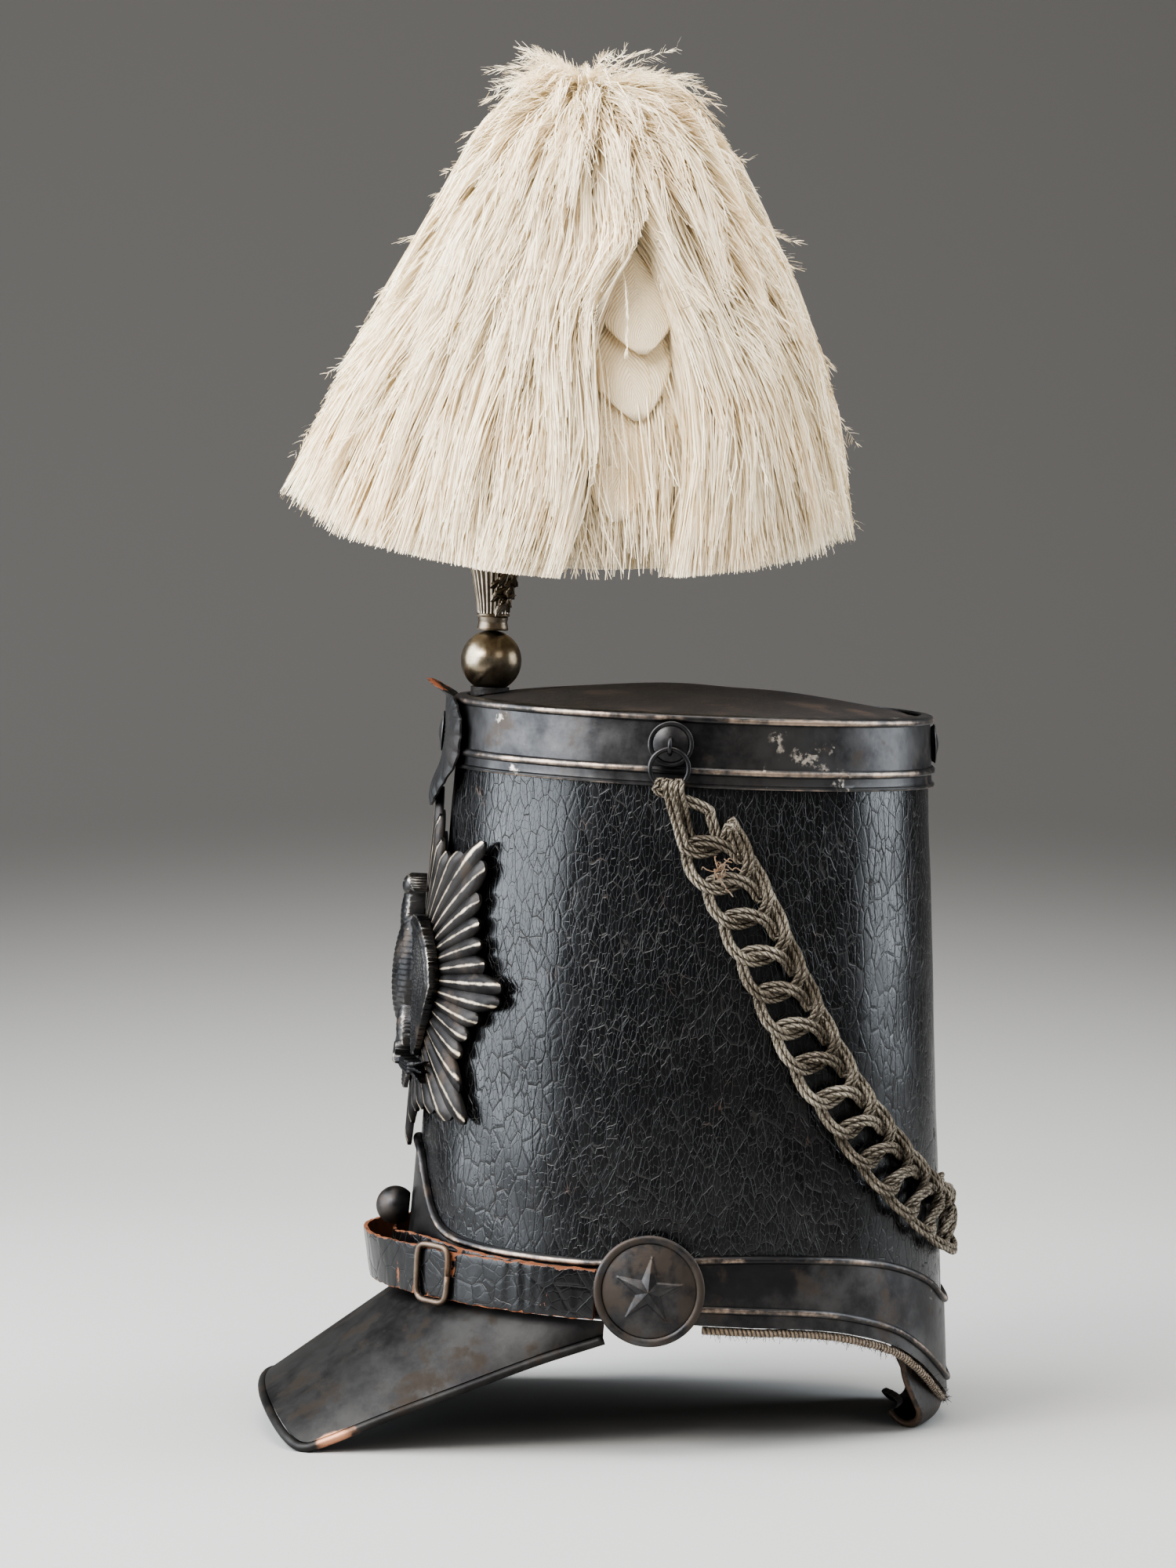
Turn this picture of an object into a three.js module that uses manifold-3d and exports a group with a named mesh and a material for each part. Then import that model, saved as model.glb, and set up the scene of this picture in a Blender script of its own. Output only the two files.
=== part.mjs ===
// A military shako of about the 1840s: a tall lacquered leather crown with silvered
// mounts, a rayed front plate, a looped cord chain and a drooping feather plume.
// Millimetres. +X is the wearer's left, -Y the front, +Z up, and the hat stands on z = 0.
import * as THREE from 'three';
import { mergeVertices } from 'three/addons/utils/BufferGeometryUtils.js';
import Module from 'manifold-3d';

const wasm = await Module();
wasm.setup();

const DEG = Math.PI / 180;

// Clearances between pieces that touch on the real hat.
const GAP = 0.3;

// Crown: an oval tube, tapered and drawn a little forward at its top.
const CROWN = {
  height: 219,
  footDepth: 100.5,
  footWidth: 83,
  topDepth: 87,
  topWidth: 75,
  topForward: 2.9,
  wall: 3,
};
const LEAN_BACK = 2.6 * DEG;
const SIDE_FITTING_ANGLE = 84 * DEG;

// Bands are thin sheet metal with rolled beads.
const SHEET = 1.1;
const BEAD = 1.5;
const TOP_BAND = { height: 26.5, lowBeadUp: 6, flange: 0.9 };
const BASE_BAND = { sideHeight: 21.5, frontPeak: 54, rearTop: 2.5, rearFoot: -34.5, lowBeadUp: 6 };

const VISOR = { frontHalfWidth: 75, reach: 52, cornerDrop: 51, sheet: 2, rim: 1.7 };
const STRAP = { width: 18.5, thickness: 1.8, standOff: 8, flare: 4, foot: 0.3 };
const BUCKLE = { width: 17, height: 23, wire: 1.15, angle: 34 * DEG };
const ROSETTE = { radius: 20.2, thickness: 3.2, dome: 2.6, bead: 1.5, starRadius: 13.2, starInner: 0.36, starRise: 1.5 };
const BALL_BUTTON = { radius: 7.3, up: 26.5, stand: 5.2 };
const BOSS = { radius: 8.3, thickness: 1.4, dome: 1.6, bead: 0.75, fromTop: 9.6 };
const bossUp = CROWN.height - BOSS.fromTop;
const REAR_BOSS_RADIUS = 7.4;
const EYE = { radius: 2.9, wire: 0.75, below: 0.6 };
const RING = { radius: 7, wire: 0.9 };
const SUNBURST = { topClear: 2.5, footClear: 17.7, rays: 32, sheet: 1.4, ridge: 1.3, standOff: 3.4 };
const EAGLE = { height: 80, span: 66, bulge: 6, lift: 0.9 };
const COCKADE = { radius: 28, topTrim: 0.3, sheet: 1.6, flutes: 14, flute: 0.8, curl: 6, fromTop: 13 };
const cockadeUp = CROWN.height - COCKADE.fromTop;
const plateTop = cockadeUp - COCKADE.radius - SUNBURST.topClear;
const plateFoot = BALL_BUTTON.up + BALL_BUTTON.radius + SUNBURST.footClear;
const plateUp = (plateTop + plateFoot) / 2;
const plateReach = (plateTop - plateFoot) / 2;
const COCKADE_BOSS_RADIUS = 7.6;
const CHAIN = { pitch: 15, cordWidth: 5.2, cordThickness: 2.5, float: 1.75, standOff: 4 };
const PIPING = { radius: 1.5, hang: 0.4 };
const FLAP = { halfWidth: 46, tipHalfWidth: 27, sheet: 2.2, curl: 9, sink: 0.4, flatten: 1.5 };
const PLUME_SEAT = { inset: 10.4, radius: 8, cup: 1.6 };
const PLUME_BALL = { radius: 11.4, up: 1.2 };
const SOCKET = { height: 24.7, footRadius: 6, topRadius: 10, neckRadius: 4.6, flutes: 9, flute: 0.6, wall: 1.4 };
const SOCKET_LEAVES = [
  { turn: 120, up: 0.35, length: 9, lean: 0.3 }, { turn: 140, up: 0.5, length: 10, lean: -0.4 },
  { turn: 112, up: 0.62, length: 10, lean: 0.5 }, { turn: 134, up: 0.78, length: 9, lean: -0.2 },
];
const PLUME = {
  topUp: 457, footUp: 292, sideDrop: 25, back: -53, depth: 104, width: 80,
  headRadius: 13, locks: 20, lockThickness: 8, lockDepth: 5, stemRadius: 4.4,
};

const LATHE_STEPS = 32;

// Finishes.
const FINISH = {
  lacquer: { color: 0x0d0d10, roughness: 0.28, metalness: 0 },
  wornLeather: { color: 0x211a16, roughness: 0.75, metalness: 0 },
  tarnish: { color: 0x3a3b3e, roughness: 0.42, metalness: 0.85 },
  visorFace: { color: 0x322d2a, roughness: 0.5, metalness: 0.7 },
  oldSilver: { color: 0x6b6458, roughness: 0.35, metalness: 0.9 },
  cord: { color: 0x8a7a60, roughness: 0.5, metalness: 0.6 },
  cloth: { color: 0x7a6047, roughness: 0.95, metalness: 0 },
  feather: { color: 0xf1e9d8, roughness: 0.9, metalness: 0 },
};

// Geometry helpers

function signedVolume(position, index) {
  const a = new THREE.Vector3();
  const b = new THREE.Vector3();
  const c = new THREE.Vector3();
  let sum = 0;
  for (let i = 0; i < index.length; i += 3) {
    a.fromBufferAttribute(position, index[i]);
    b.fromBufferAttribute(position, index[i + 1]);
    c.fromBufferAttribute(position, index[i + 2]);
    sum += a.dot(b.cross(c)) / 6;
  }
  return sum;
}

// Merges shared vertices, drops flat slivers and turns the faces outwards.
function closed(geometry) {
  const bare = geometry.clone();
  for (const name of Object.keys(bare.attributes)) {
    if (name !== 'position') bare.deleteAttribute(name);
  }
  bare.clearGroups();
  const merged = mergeVertices(bare, 1e-4);
  const kept = [];
  const old = merged.index.array;
  for (let i = 0; i < old.length; i += 3) {
    const [p, q, r] = [old[i], old[i + 1], old[i + 2]];
    if (p !== q && q !== r && r !== p) kept.push(p, q, r);
  }
  if (signedVolume(merged.attributes.position, kept) < 0) {
    for (let i = 0; i < kept.length; i += 3) [kept[i], kept[i + 1]] = [kept[i + 1], kept[i]];
  }
  merged.setIndex(kept);
  return merged;
}

// Moves each vertex of a three.js geometry to place(vertex).
function reshape(geometry, place) {
  const position = geometry.attributes.position;
  const vertex = new THREE.Vector3();
  for (let i = 0; i < position.count; i += 1) {
    const target = place(vertex.fromBufferAttribute(position, i));
    position.setXYZ(i, target.x, target.y, target.z);
  }
  return closed(geometry);
}

function toSolid(geometry) {
  const shape = closed(geometry);
  return new wasm.Manifold(new wasm.Mesh({
    numProp: 3,
    vertProperties: new Float32Array(shape.attributes.position.array),
    triVerts: new Uint32Array(shape.index.array),
  }));
}

function fromSolid(solid) {
  const mesh = solid.getMesh();
  const geometry = new THREE.BufferGeometry();
  geometry.setAttribute('position', new THREE.BufferAttribute(new Float32Array(mesh.vertProperties), 3));
  geometry.setIndex(new THREE.BufferAttribute(new Uint32Array(mesh.triVerts), 1));
  return geometry;
}

function fuse(geometries) {
  let solid = toSolid(geometries[0]);
  for (const geometry of geometries.slice(1)) solid = solid.add(toSolid(geometry));
  return fromSolid(solid);
}

const smooth = (value) => value * value * (3 - 2 * value);
const clamp01 = (value) => Math.min(1, Math.max(0, value));
const mix = (from, to, share) => from + (to - from) * share;

// Reads a table of rows [at, value], with a smooth curve through them.
function readTable(rows, at) {
  if (at <= rows[0].at) return rows[0].value;
  for (let i = 1; i < rows.length; i += 1) {
    if (at <= rows[i].at) {
      const share = (at - rows[i - 1].at) / (rows[i].at - rows[i - 1].at);
      const before = rows[Math.max(0, i - 2)];
      const after = rows[Math.min(rows.length - 1, i + 1)];
      const slopeIn = (rows[i].value - before.value) / Math.max(1e-9, rows[i].at - before.at);
      const slopeOut = (after.value - rows[i - 1].value) / Math.max(1e-9, after.at - rows[i - 1].at);
      const span = rows[i].at - rows[i - 1].at;
      const s2 = share * share;
      const s3 = s2 * share;
      return (2 * s3 - 3 * s2 + 1) * rows[i - 1].value + (s3 - 2 * s2 + share) * slopeIn * span
        + (3 * s2 - 2 * s3) * rows[i].value + (s3 - s2) * slopeOut * span;
    }
  }
  return rows[rows.length - 1].value;
}

// The crown's outer oval at a height: depth is front to back, width is side to side.
function ovalAt(up) {
  const share = up / CROWN.height;
  return {
    depth: mix(CROWN.footDepth, CROWN.topDepth, share),
    width: mix(CROWN.footWidth, CROWN.topWidth, share),
    back: -CROWN.topForward * share,
  };
}

// A point off the crown's wall: angle 0 is the front, 90 degrees the wearer's left.
function onCrown(angle, up, out = 0) {
  const oval = ovalAt(up);
  const normal = crownNormal(angle, up);
  return new THREE.Vector3(
    oval.width * Math.sin(angle) + out * normal.x,
    oval.back - oval.depth * Math.cos(angle) + out * normal.y,
    up,
  );
}

function crownNormal(angle, up) {
  const oval = ovalAt(up);
  return new THREE.Vector3(Math.sin(angle) / oval.width, -Math.cos(angle) / oval.depth, 0).normalize();
}

// The angle that lies an arc length round the oval from the front.
function angleAtArc(arc, up) {
  const oval = ovalAt(up);
  const steps = 24;
  let angle = 0;
  for (let i = 0; i < steps; i += 1) {
    const speed = Math.hypot(oval.width * Math.cos(angle), oval.depth * Math.sin(angle));
    angle += arc / steps / speed;
  }
  return angle;
}

// Wraps a flat ornament on the front: x runs round the crown, y up it, z stands off it.
function wrapFront(vertex, centreUp, standOff) {
  const up = centreUp + vertex.y;
  return onCrown(angleAtArc(vertex.x, up), up, standOff + vertex.z);
}

// Turns a closed profile of points (out, up) round the crown.
const LATHE_RADIUS = 1000;
function turnRoundCrown(profile, place) {
  const points = profile.map(([out, up]) => new THREE.Vector2(LATHE_RADIUS + out, up));
  points.push(points[0].clone());
  return reshape(new THREE.LatheGeometry(points, LATHE_STEPS), (vertex) => {
    const out = Math.hypot(vertex.x, vertex.z) - LATHE_RADIUS;
    return place(Math.atan2(vertex.x, vertex.z), out, vertex.y);
  });
}

// Sweeps a flattened round section through a row of centres, closed by flat ends.
// normals[i] is the direction of the section's thickness at centres[i].
function sweep(centres, normals, halfWidth, halfThickness, sides) {
  const last = centres.length - 1;
  const frames = centres.map((centre, i) => {
    const tangent = centres[Math.min(last, i + 1)].clone().sub(centres[Math.max(0, i - 1)]).normalize();
    const side = tangent.clone().cross(normals[i]).normalize();
    return { centre, side, normal: side.clone().cross(tangent) };
  });
  return reshape(new THREE.CylinderGeometry(1, 1, 1, sides, last), (vertex) => {
    const frame = frames[Math.round((vertex.y + 0.5) * last)];
    return frame.centre.clone()
      .addScaledVector(frame.side, vertex.x * halfWidth)
      .addScaledVector(frame.normal, vertex.z * halfThickness);
  });
}

function latheSolid(points, steps) {
  return closed(new THREE.LatheGeometry(points.map(([x, y]) => new THREE.Vector2(x, y)), steps));
}

// Points of a rolled bead, standing off a sheet, from low to high.
function beadArc(sheetOut, centreUp, radius) {
  return [-90, 0, 90].map((degrees) => [
    sheetOut + radius * Math.cos(degrees * DEG),
    centreUp + radius * Math.sin(degrees * DEG),
  ]);
}

// Stands a fitting on the crown: its own +Z looks out along the wall's normal, +Y up.
function standOnCrown(geometry, angle, up, out) {
  const level = crownNormal(angle, up);
  const upward = onCrown(angle, up + 1).sub(onCrown(angle, up)).normalize();
  const across = upward.clone().cross(level).normalize();
  const normal = across.clone().cross(upward);
  const turn = new THREE.Matrix4().makeBasis(across, upward, normal);
  const placed = geometry.clone().applyMatrix4(turn);
  const centre = onCrown(angle, up, out);
  return placed.translate(centre.x, centre.y, centre.z);
}

const hat = new THREE.Group();
hat.rotation.x = -LEAN_BACK;

function addPiece(name, geometry, finish) {
  const mesh = new THREE.Mesh(geometry, new THREE.MeshStandardMaterial(finish));
  mesh.name = name;
  hat.add(mesh);
  return mesh;
}

// Crown and bands

// Foot of the crown and base band, as shares of BASE_BAND.rearFoot, by degrees from the front.
const FOOT_EDGE = [
  { at: 0, value: 0 }, { at: 90, value: 0 }, { at: 104, value: 0.017 }, { at: 117, value: 0.04 },
  { at: 128, value: 0.107 }, { at: 142, value: 0.28 }, { at: 152, value: 0.5 }, { at: 162, value: 0.76 },
  { at: 171, value: 0.94 }, { at: 180, value: 1 }, { at: 189, value: 0.94 },
];
// Front peak of the base band, as shares of its rise over the side height.
const FRONT_PEAK = [
  { at: -6, value: 0.98 }, { at: 0, value: 1 }, { at: 6, value: 0.98 }, { at: 12, value: 0.9 },
  { at: 19, value: 0.56 },
  { at: 24, value: 0.29 }, { at: 31, value: 0.1 }, { at: 45, value: 0.02 }, { at: 60, value: 0 },
];
// Drop of the base band's top edge behind, as shares of its whole drop.
const REAR_DROP = [
  { at: 70, value: 0 }, { at: 103, value: -0.21 }, { at: 123, value: -0.18 }, { at: 136, value: -0.07 },
  { at: 146, value: 0.12 }, { at: 158, value: 0.46 }, { at: 168, value: 0.84 }, { at: 180, value: 1 },
  { at: 192, value: 0.84 },
];

const turnDegrees = (angle) => Math.abs(angle) / DEG;
const footEdge = (angle) => BASE_BAND.rearFoot * readTable(FOOT_EDGE, turnDegrees(angle));

function baseBandTop(angle) {
  const { sideHeight, frontPeak, rearTop } = BASE_BAND;
  return sideHeight
    + (frontPeak - sideHeight) * readTable(FRONT_PEAK, turnDegrees(angle))
    - (sideHeight - rearTop) * readTable(REAR_DROP, turnDegrees(angle));
}

const LID = { sheet: 2, dome: 8, rings: [0, 0.6, 1] };
const wallTop = CROWN.height - LID.sheet - GAP;
const FOOT_INSET = 0.5;

function crownBody() {
  const profile = [[0, 0], [0, 1], [-CROWN.wall, 1], [-CROWN.wall, 0]];
  return turnRoundCrown(profile, (angle, out, share) => (
    onCrown(angle, mix(footEdge(angle) + FOOT_INSET, wallTop, share), out)
  ));
}

function crownTop() {
  const under = LID.rings.map((share) => [share, 0]);
  const over = LID.rings.map((share) => [share, 1]).reverse();
  const solid = new THREE.LatheGeometry(
    [...under, ...over].map(([x, y]) => new THREE.Vector2(x, y)),
    LATHE_STEPS,
  );
  return reshape(solid, (vertex) => {
    const share = Math.hypot(vertex.x, vertex.z);
    const edge = onCrown(Math.atan2(vertex.x, vertex.z), CROWN.height);
    const middle = new THREE.Vector3(0, -CROWN.topForward, CROWN.height);
    const point = middle.lerp(edge, share);
    point.z += LID.dome * (1 - share * share) - LID.sheet * (1 - vertex.y);
    return point;
  });
}

const bandFace = GAP + SHEET;

function topBand() {
  const top = CROWN.height + BEAD;
  const foot = top - TOP_BAND.height;
  const lip = CROWN.height + GAP + 0.3;
  const lipIn = -2;
  const profile = [
    [GAP, foot], [bandFace + TOP_BAND.flange, foot], [bandFace + TOP_BAND.flange, foot + SHEET],
    ...beadArc(bandFace, foot + TOP_BAND.lowBeadUp, BEAD),
    ...beadArc(bandFace, CROWN.height - BEAD * 0.2, BEAD),
    [lipIn, top], [lipIn, lip], [GAP, lip],
  ];
  return turnRoundCrown(profile, (angle, out, up) => onCrown(angle, up, out));
}

// Profile heights up to HALF_MARK count up from the foot, those above count down from the top.
const HALF_MARK = 50;
const TOP_MARK = 100;

function baseBand() {
  const profile = [
    [GAP, 0], [bandFace, 0],
    ...beadArc(bandFace, BASE_BAND.lowBeadUp, BEAD),
    ...beadArc(bandFace, TOP_MARK - BEAD, BEAD),
    [GAP, TOP_MARK],
  ];
  return turnRoundCrown(profile, (angle, out, mark) => {
    const foot = footEdge(angle);
    const beadShare = readTable([{ at: 40, value: 0.5 }, { at: 100, value: 1 }], turnDegrees(angle));
    const up = mark < HALF_MARK ? foot + mark * beadShare : baseBandTop(angle) - (TOP_MARK - mark);
    return onCrown(angle, up, out);
  });
}

addPiece('crown_body', crownBody(), FINISH.lacquer);
addPiece('crown_top', crownTop(), FINISH.wornLeather);
addPiece('top_band', topBand(), FINISH.tarnish);
addPiece('base_band', baseBand(), FINISH.tarnish);

// Visor

// Half of the visor's edge from its front centre to its root, as shares of its sizes.
const VISOR_EDGE = [
  { across: 0, ahead: 1, drop: 0.775 }, { across: 0.36, ahead: 0.985, drop: 0.8 },
  { across: 0.7, ahead: 0.94, drop: 0.88 }, { across: 0.9, ahead: 0.895, drop: 0.95 },
  { across: 0.985, ahead: 0.85, drop: 0.99 }, { across: 1, ahead: 0.79, drop: 0.94 },
  { across: 1.025, ahead: 0.6, drop: 0.72 }, { across: 1.05, ahead: 0.4, drop: 0.5 },
  { across: 1.062, ahead: 0.2, drop: 0.285 }, { across: 1.064, ahead: 0, drop: 0.1 },
];
const VISOR_ROOT_ANGLE = 74.5 * DEG;
const VISOR_GRID = { across: 26, along: 3 };
const visorRootUp = -GAP - 0.2;

const visorEdge = (() => {
  const rootEnd = onCrown(VISOR_ROOT_ANGLE, visorRootUp, bandFace);
  const frontMost = -CROWN.footDepth - VISOR.reach;
  const half = VISOR_EDGE.map((row) => new THREE.Vector3(
    row.across * VISOR.frontHalfWidth,
    mix(rootEnd.y, frontMost, row.ahead),
    visorRootUp - row.drop * VISOR.cornerDrop,
  ));
  const mirrored = half.slice(1).reverse().map((point) => new THREE.Vector3(-point.x, point.y, point.z));
  return new THREE.CatmullRomCurve3([...mirrored, ...half]);
})();

// Across runs from -1 on the right to 1 on the left, along from 0 at the root to 1 at the edge.
function visorPoint(across, along, depth) {
  const angle = across * VISOR_ROOT_ANGLE;
  const root = onCrown(angle, visorRootUp, bandFace - SHEET / 2);
  const edge = visorEdge.getPoint((across + 1) / 2);
  const outward = new THREE.Vector3(Math.sin(angle) * 0.75, -Math.cos(angle) * 0.75, 1).normalize();
  return root.lerp(edge, along).addScaledVector(outward, -depth);
}

function visorSheet() {
  const grid = new THREE.BoxGeometry(2, 1, VISOR.sheet, VISOR_GRID.across, VISOR_GRID.along, 1);
  return reshape(grid, (vertex) => visorPoint(vertex.x, 0.5 - vertex.y, VISOR.sheet / 2 - vertex.z));
}

function visorRim() {
  const centres = [];
  const normals = [];
  const shareAt = (i) => -1 + (2 * i) / VISOR_GRID.across;
  for (let i = 0; i <= VISOR_GRID.across; i += 1) {
    const edge = visorPoint(shareAt(i), 1, VISOR.sheet / 2);
    const through = visorPoint(shareAt(i), 1, 0).sub(visorPoint(shareAt(i), 1, VISOR.sheet));
    const before = visorPoint(shareAt(Math.max(0, i - 1)), 1, 0);
    const after = visorPoint(shareAt(Math.min(VISOR_GRID.across, i + 1)), 1, 0);
    const outward = through.cross(after.sub(before)).normalize().negate();
    centres.push(edge.addScaledVector(outward, VISOR.rim + GAP + 0.1));
    normals.push(outward);
  }
  return sweep(centres, normals, VISOR.rim, VISOR.rim, 5);
}

const rimGeometry = visorRim();
addPiece('visor', visorSheet(), FINISH.visorFace);
addPiece('visor_rim', rimGeometry, FINISH.tarnish);

// The hat stands on its visor's corners, which sets how high its foot is.
const leanedHeight = (point) => point.z * Math.cos(LEAN_BACK) - point.y * Math.sin(LEAN_BACK);

function lowestOf(geometry) {
  const position = geometry.attributes.position;
  const vertex = new THREE.Vector3();
  let lowest = Infinity;
  for (let i = 0; i < position.count; i += 1) {
    lowest = Math.min(lowest, leanedHeight(vertex.fromBufferAttribute(position, i)));
  }
  return lowest;
}

const floorHeight = lowestOf(rimGeometry);

// Piping and neck flap

const REAR = Math.PI;

// Piping hangs just under the crown's foot from one rosette round the back to the other.
function edgePiping() {
  const from = 98 * DEG;
  const steps = 18;
  const centres = [];
  const normals = [];
  for (let i = 0; i <= steps; i += 1) {
    const angle = mix(from, 2 * REAR - from, i / steps);
    const up = footEdge(angle > REAR ? 2 * REAR - angle : angle) - PIPING.hang - PIPING.radius;
    centres.push(onCrown(angle, up, -PIPING.radius * 0.4));
    normals.push(crownNormal(angle, up));
  }
  return sweep(centres, normals, PIPING.radius, PIPING.radius, 5);
}

// The flap lies inside the back of the crown and curls forward under it, flat on the floor.
function neckFlap() {
  const curlTurn = 150 * DEG;
  const top = -10;
  const facetSag = CROWN.footDepth * (1 - Math.cos(Math.PI / LATHE_STEPS));
  const lie = -CROWN.wall - GAP - facetSag;
  const straightShare = 0.45;
  const rearFloor = (floorHeight + CROWN.footDepth * Math.sin(LEAN_BACK)) / Math.cos(LEAN_BACK);
  const curlUp = rearFloor + FLAP.curl - FLAP.sink;
  const grid = new THREE.BoxGeometry(2, 1, FLAP.sheet, 6, 8, 1);
  return reshape(grid, (vertex) => {
    const along = 0.5 - vertex.y;
    const depth = FLAP.sheet / 2 - vertex.z;
    const halfWidth = mix(FLAP.halfWidth, FLAP.tipHalfWidth, smooth(along));
    let up = mix(top, curlUp, along / straightShare);
    let out = lie - depth;
    if (along > straightShare) {
      const turn = (curlTurn * (along - straightShare)) / (1 - straightShare);
      const radius = FLAP.curl - depth;
      up = curlUp - radius * Math.sin(turn);
      out = lie - FLAP.curl + radius * Math.cos(turn);
    }
    const angle = REAR - angleAtArc(vertex.x * halfWidth, up);
    const point = onCrown(angle, up, out);
    const below = floorHeight - leanedHeight(point);
    if (depth < FLAP.sheet / 2 && below > -FLAP.flatten) point.z += below / Math.cos(LEAN_BACK);
    return point;
  });
}

addPiece('edge_piping', edgePiping(), FINISH.cloth);
addPiece('neck_flap', neckFlap(), FINISH.wornLeather);

// Chin strap

// How far the strap stands off the band, as shares of STRAP.standOff, by degrees from the front.
const STRAP_STAND = [
  { at: 0, value: 1 }, { at: 12, value: 0.86 }, { at: 24, value: 0.42 }, { at: 34, value: 0.16 },
  { at: 50, value: 0.05 }, { at: 75, value: 0 },
];
const strapStand = (angle) => STRAP.standOff * readTable(STRAP_STAND, turnDegrees(angle));
const beadClear = bandFace + BEAD + GAP;
const strapUnder = { thickness: 1.4, rise: 2.6, from: -30 * DEG, to: 73 * DEG };
// How far the under layer shows over the outer one, as shares of its rise.
const UNDER_RISE = [
  { at: 5, value: 0 }, { at: 20, value: 1 }, { at: 34, value: 0.8 }, { at: 50, value: 0.2 },
  { at: 75, value: 0 },
];

// A strap layer: across the strap, y runs from its lower to its upper edge.
function strapLayer(from, to, steps, rise, lie, thickness, flare) {
  const grid = new THREE.BoxGeometry(1, 1, thickness, steps, 1, 1);
  return reshape(grid, (vertex) => {
    const angle = mix(from, to, vertex.x + 0.5);
    const standShare = readTable(STRAP_STAND, turnDegrees(angle));
    const across = vertex.y + 0.5;
    const up = STRAP.foot + across * STRAP.width + rise * readTable(UNDER_RISE, turnDegrees(angle));
    const out = lie(angle) + flare * across * standShare + vertex.z + thickness / 2;
    return onCrown(angle, up, out);
  });
}

const strapEnd = 73 * DEG;
const underOut = (angle) => beadClear + strapStand(angle) * 0.35;
const overOut = (angle) => beadClear + strapUnder.thickness + GAP + strapStand(angle);

addPiece('strap_outer', strapLayer(
  -strapEnd, strapEnd, 22, 0, overOut, STRAP.thickness, STRAP.flare,
), FINISH.lacquer);
addPiece('strap_inner', strapLayer(
  strapUnder.from, strapUnder.to, 14, strapUnder.rise, underOut, strapUnder.thickness, 0,
), FINISH.lacquer);

// A wire bent to a rounded rectangle, fastened over the strap.
function buckle() {
  const wire = new THREE.TorusGeometry(1, BUCKLE.wire, 5, 20);
  const frame = reshape(wire, (vertex) => {
    const turn = Math.atan2(vertex.y, vertex.x);
    const off = Math.hypot(vertex.x, vertex.y) - 1;
    const rounded = (value) => Math.sign(value) * Math.sqrt(Math.abs(value));
    return new THREE.Vector3(
      (BUCKLE.width / 2 - BUCKLE.wire) * rounded(Math.cos(turn)) + off * Math.cos(turn),
      (BUCKLE.height / 2 - BUCKLE.wire) * rounded(Math.sin(turn)) + off * Math.sin(turn),
      vertex.z,
    );
  });
  const middleUp = STRAP.foot + STRAP.width / 2;
  const middle = angleAtArcFrom(BUCKLE.angle);
  return reshape(frame, (vertex) => {
    const angle = middle(vertex.x);
    const across = clamp01((middleUp + vertex.y - STRAP.foot) / STRAP.width);
    const standShare = readTable(STRAP_STAND, turnDegrees(angle));
    const out = overOut(angle) + STRAP.thickness + GAP + BUCKLE.wire + STRAP.flare * across * standShare;
    return onCrown(angle, middleUp + vertex.y, out + vertex.z);
  });
}

// Angles at arc lengths to either side of a given angle, near the crown's foot.
function angleAtArcFrom(start) {
  const speed = Math.hypot(CROWN.footWidth * Math.cos(start), CROWN.footDepth * Math.sin(start));
  return (arc) => start + arc / speed;
}

addPiece('buckle', buckle(), FINISH.oldSilver);

// Rosettes, ball and bosses

// The flat of a domed plate lies a little lower than its rim.
const PLATE_FACE = 0.8;

// A domed round plate with a rolled rim: flat back at z = 0, front towards +z.
function domedPlate({ radius, thickness, dome, bead }, steps) {
  const inner = radius - 2 * bead;
  const face = thickness * PLATE_FACE;
  const profile = [
    [0, 0], [radius - bead, 0], [radius, bead], [radius - bead * 0.3, thickness],
    [radius - bead, thickness + bead * 0.7], [inner, face],
    [inner * 0.72, face + dome * 0.5], [inner * 0.38, face + dome * 0.86],
    [0, face + dome],
  ];
  return latheSolid(profile, steps).rotateX(90 * DEG).scale(1, -1, 1);
}

// A five-point star whose arms rise to ridges over the dome.
function star() {
  const arms = 5;
  const faceUp = ROSETTE.thickness * PLATE_FACE;
  const heights = {
    centre: faceUp + ROSETTE.dome + ROSETTE.starRise,
    tip: faceUp + ROSETTE.dome * 0.5,
    notch: faceUp + ROSETTE.dome * 0.9,
    foot: faceUp * 0.5,
  };
  return reshape(new THREE.ConeGeometry(1, 1, 2 * arms), (vertex) => {
    const reach = Math.hypot(vertex.x, vertex.z);
    if (reach < 0.5) return new THREE.Vector3(0, 0, vertex.y > 0 ? heights.centre : heights.foot);
    const step = Math.round(Math.atan2(vertex.x, vertex.z) / (Math.PI / arms));
    const isTip = Math.abs(step) % 2 === 0;
    const radius = ROSETTE.starRadius * (isTip ? 1 : ROSETTE.starInner);
    const turn = step * (Math.PI / arms);
    return new THREE.Vector3(Math.sin(turn) * radius, Math.cos(turn) * radius, isTip ? heights.tip : heights.notch);
  });
}

const rosetteUp = 12.3;
const rosetteOut = beadClear + 1.3;
function rosette(side) {
  const plate = closed(domedPlate(ROSETTE, 18));
  return standOnCrown(fuse([plate, star()]), side * SIDE_FITTING_ANGLE, rosetteUp, rosetteOut);
}

function boss(radius) {
  return closed(domedPlate({ ...BOSS, radius }, 12));
}

const ringLie = BOSS.thickness * PLATE_FACE + BOSS.dome + RING.wire + GAP;

// The eye is a half ring of wire soldered upright on the boss.
function sideBoss(side) {
  const eye = new THREE.TorusGeometry(EYE.radius, EYE.wire, 5, 10).rotateY(90 * DEG);
  eye.translate(0, -EYE.below, ringLie);
  return standOnCrown(fuse([boss(BOSS.radius), eye]), side * SIDE_FITTING_ANGLE, bossUp, beadClear);
}

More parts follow.
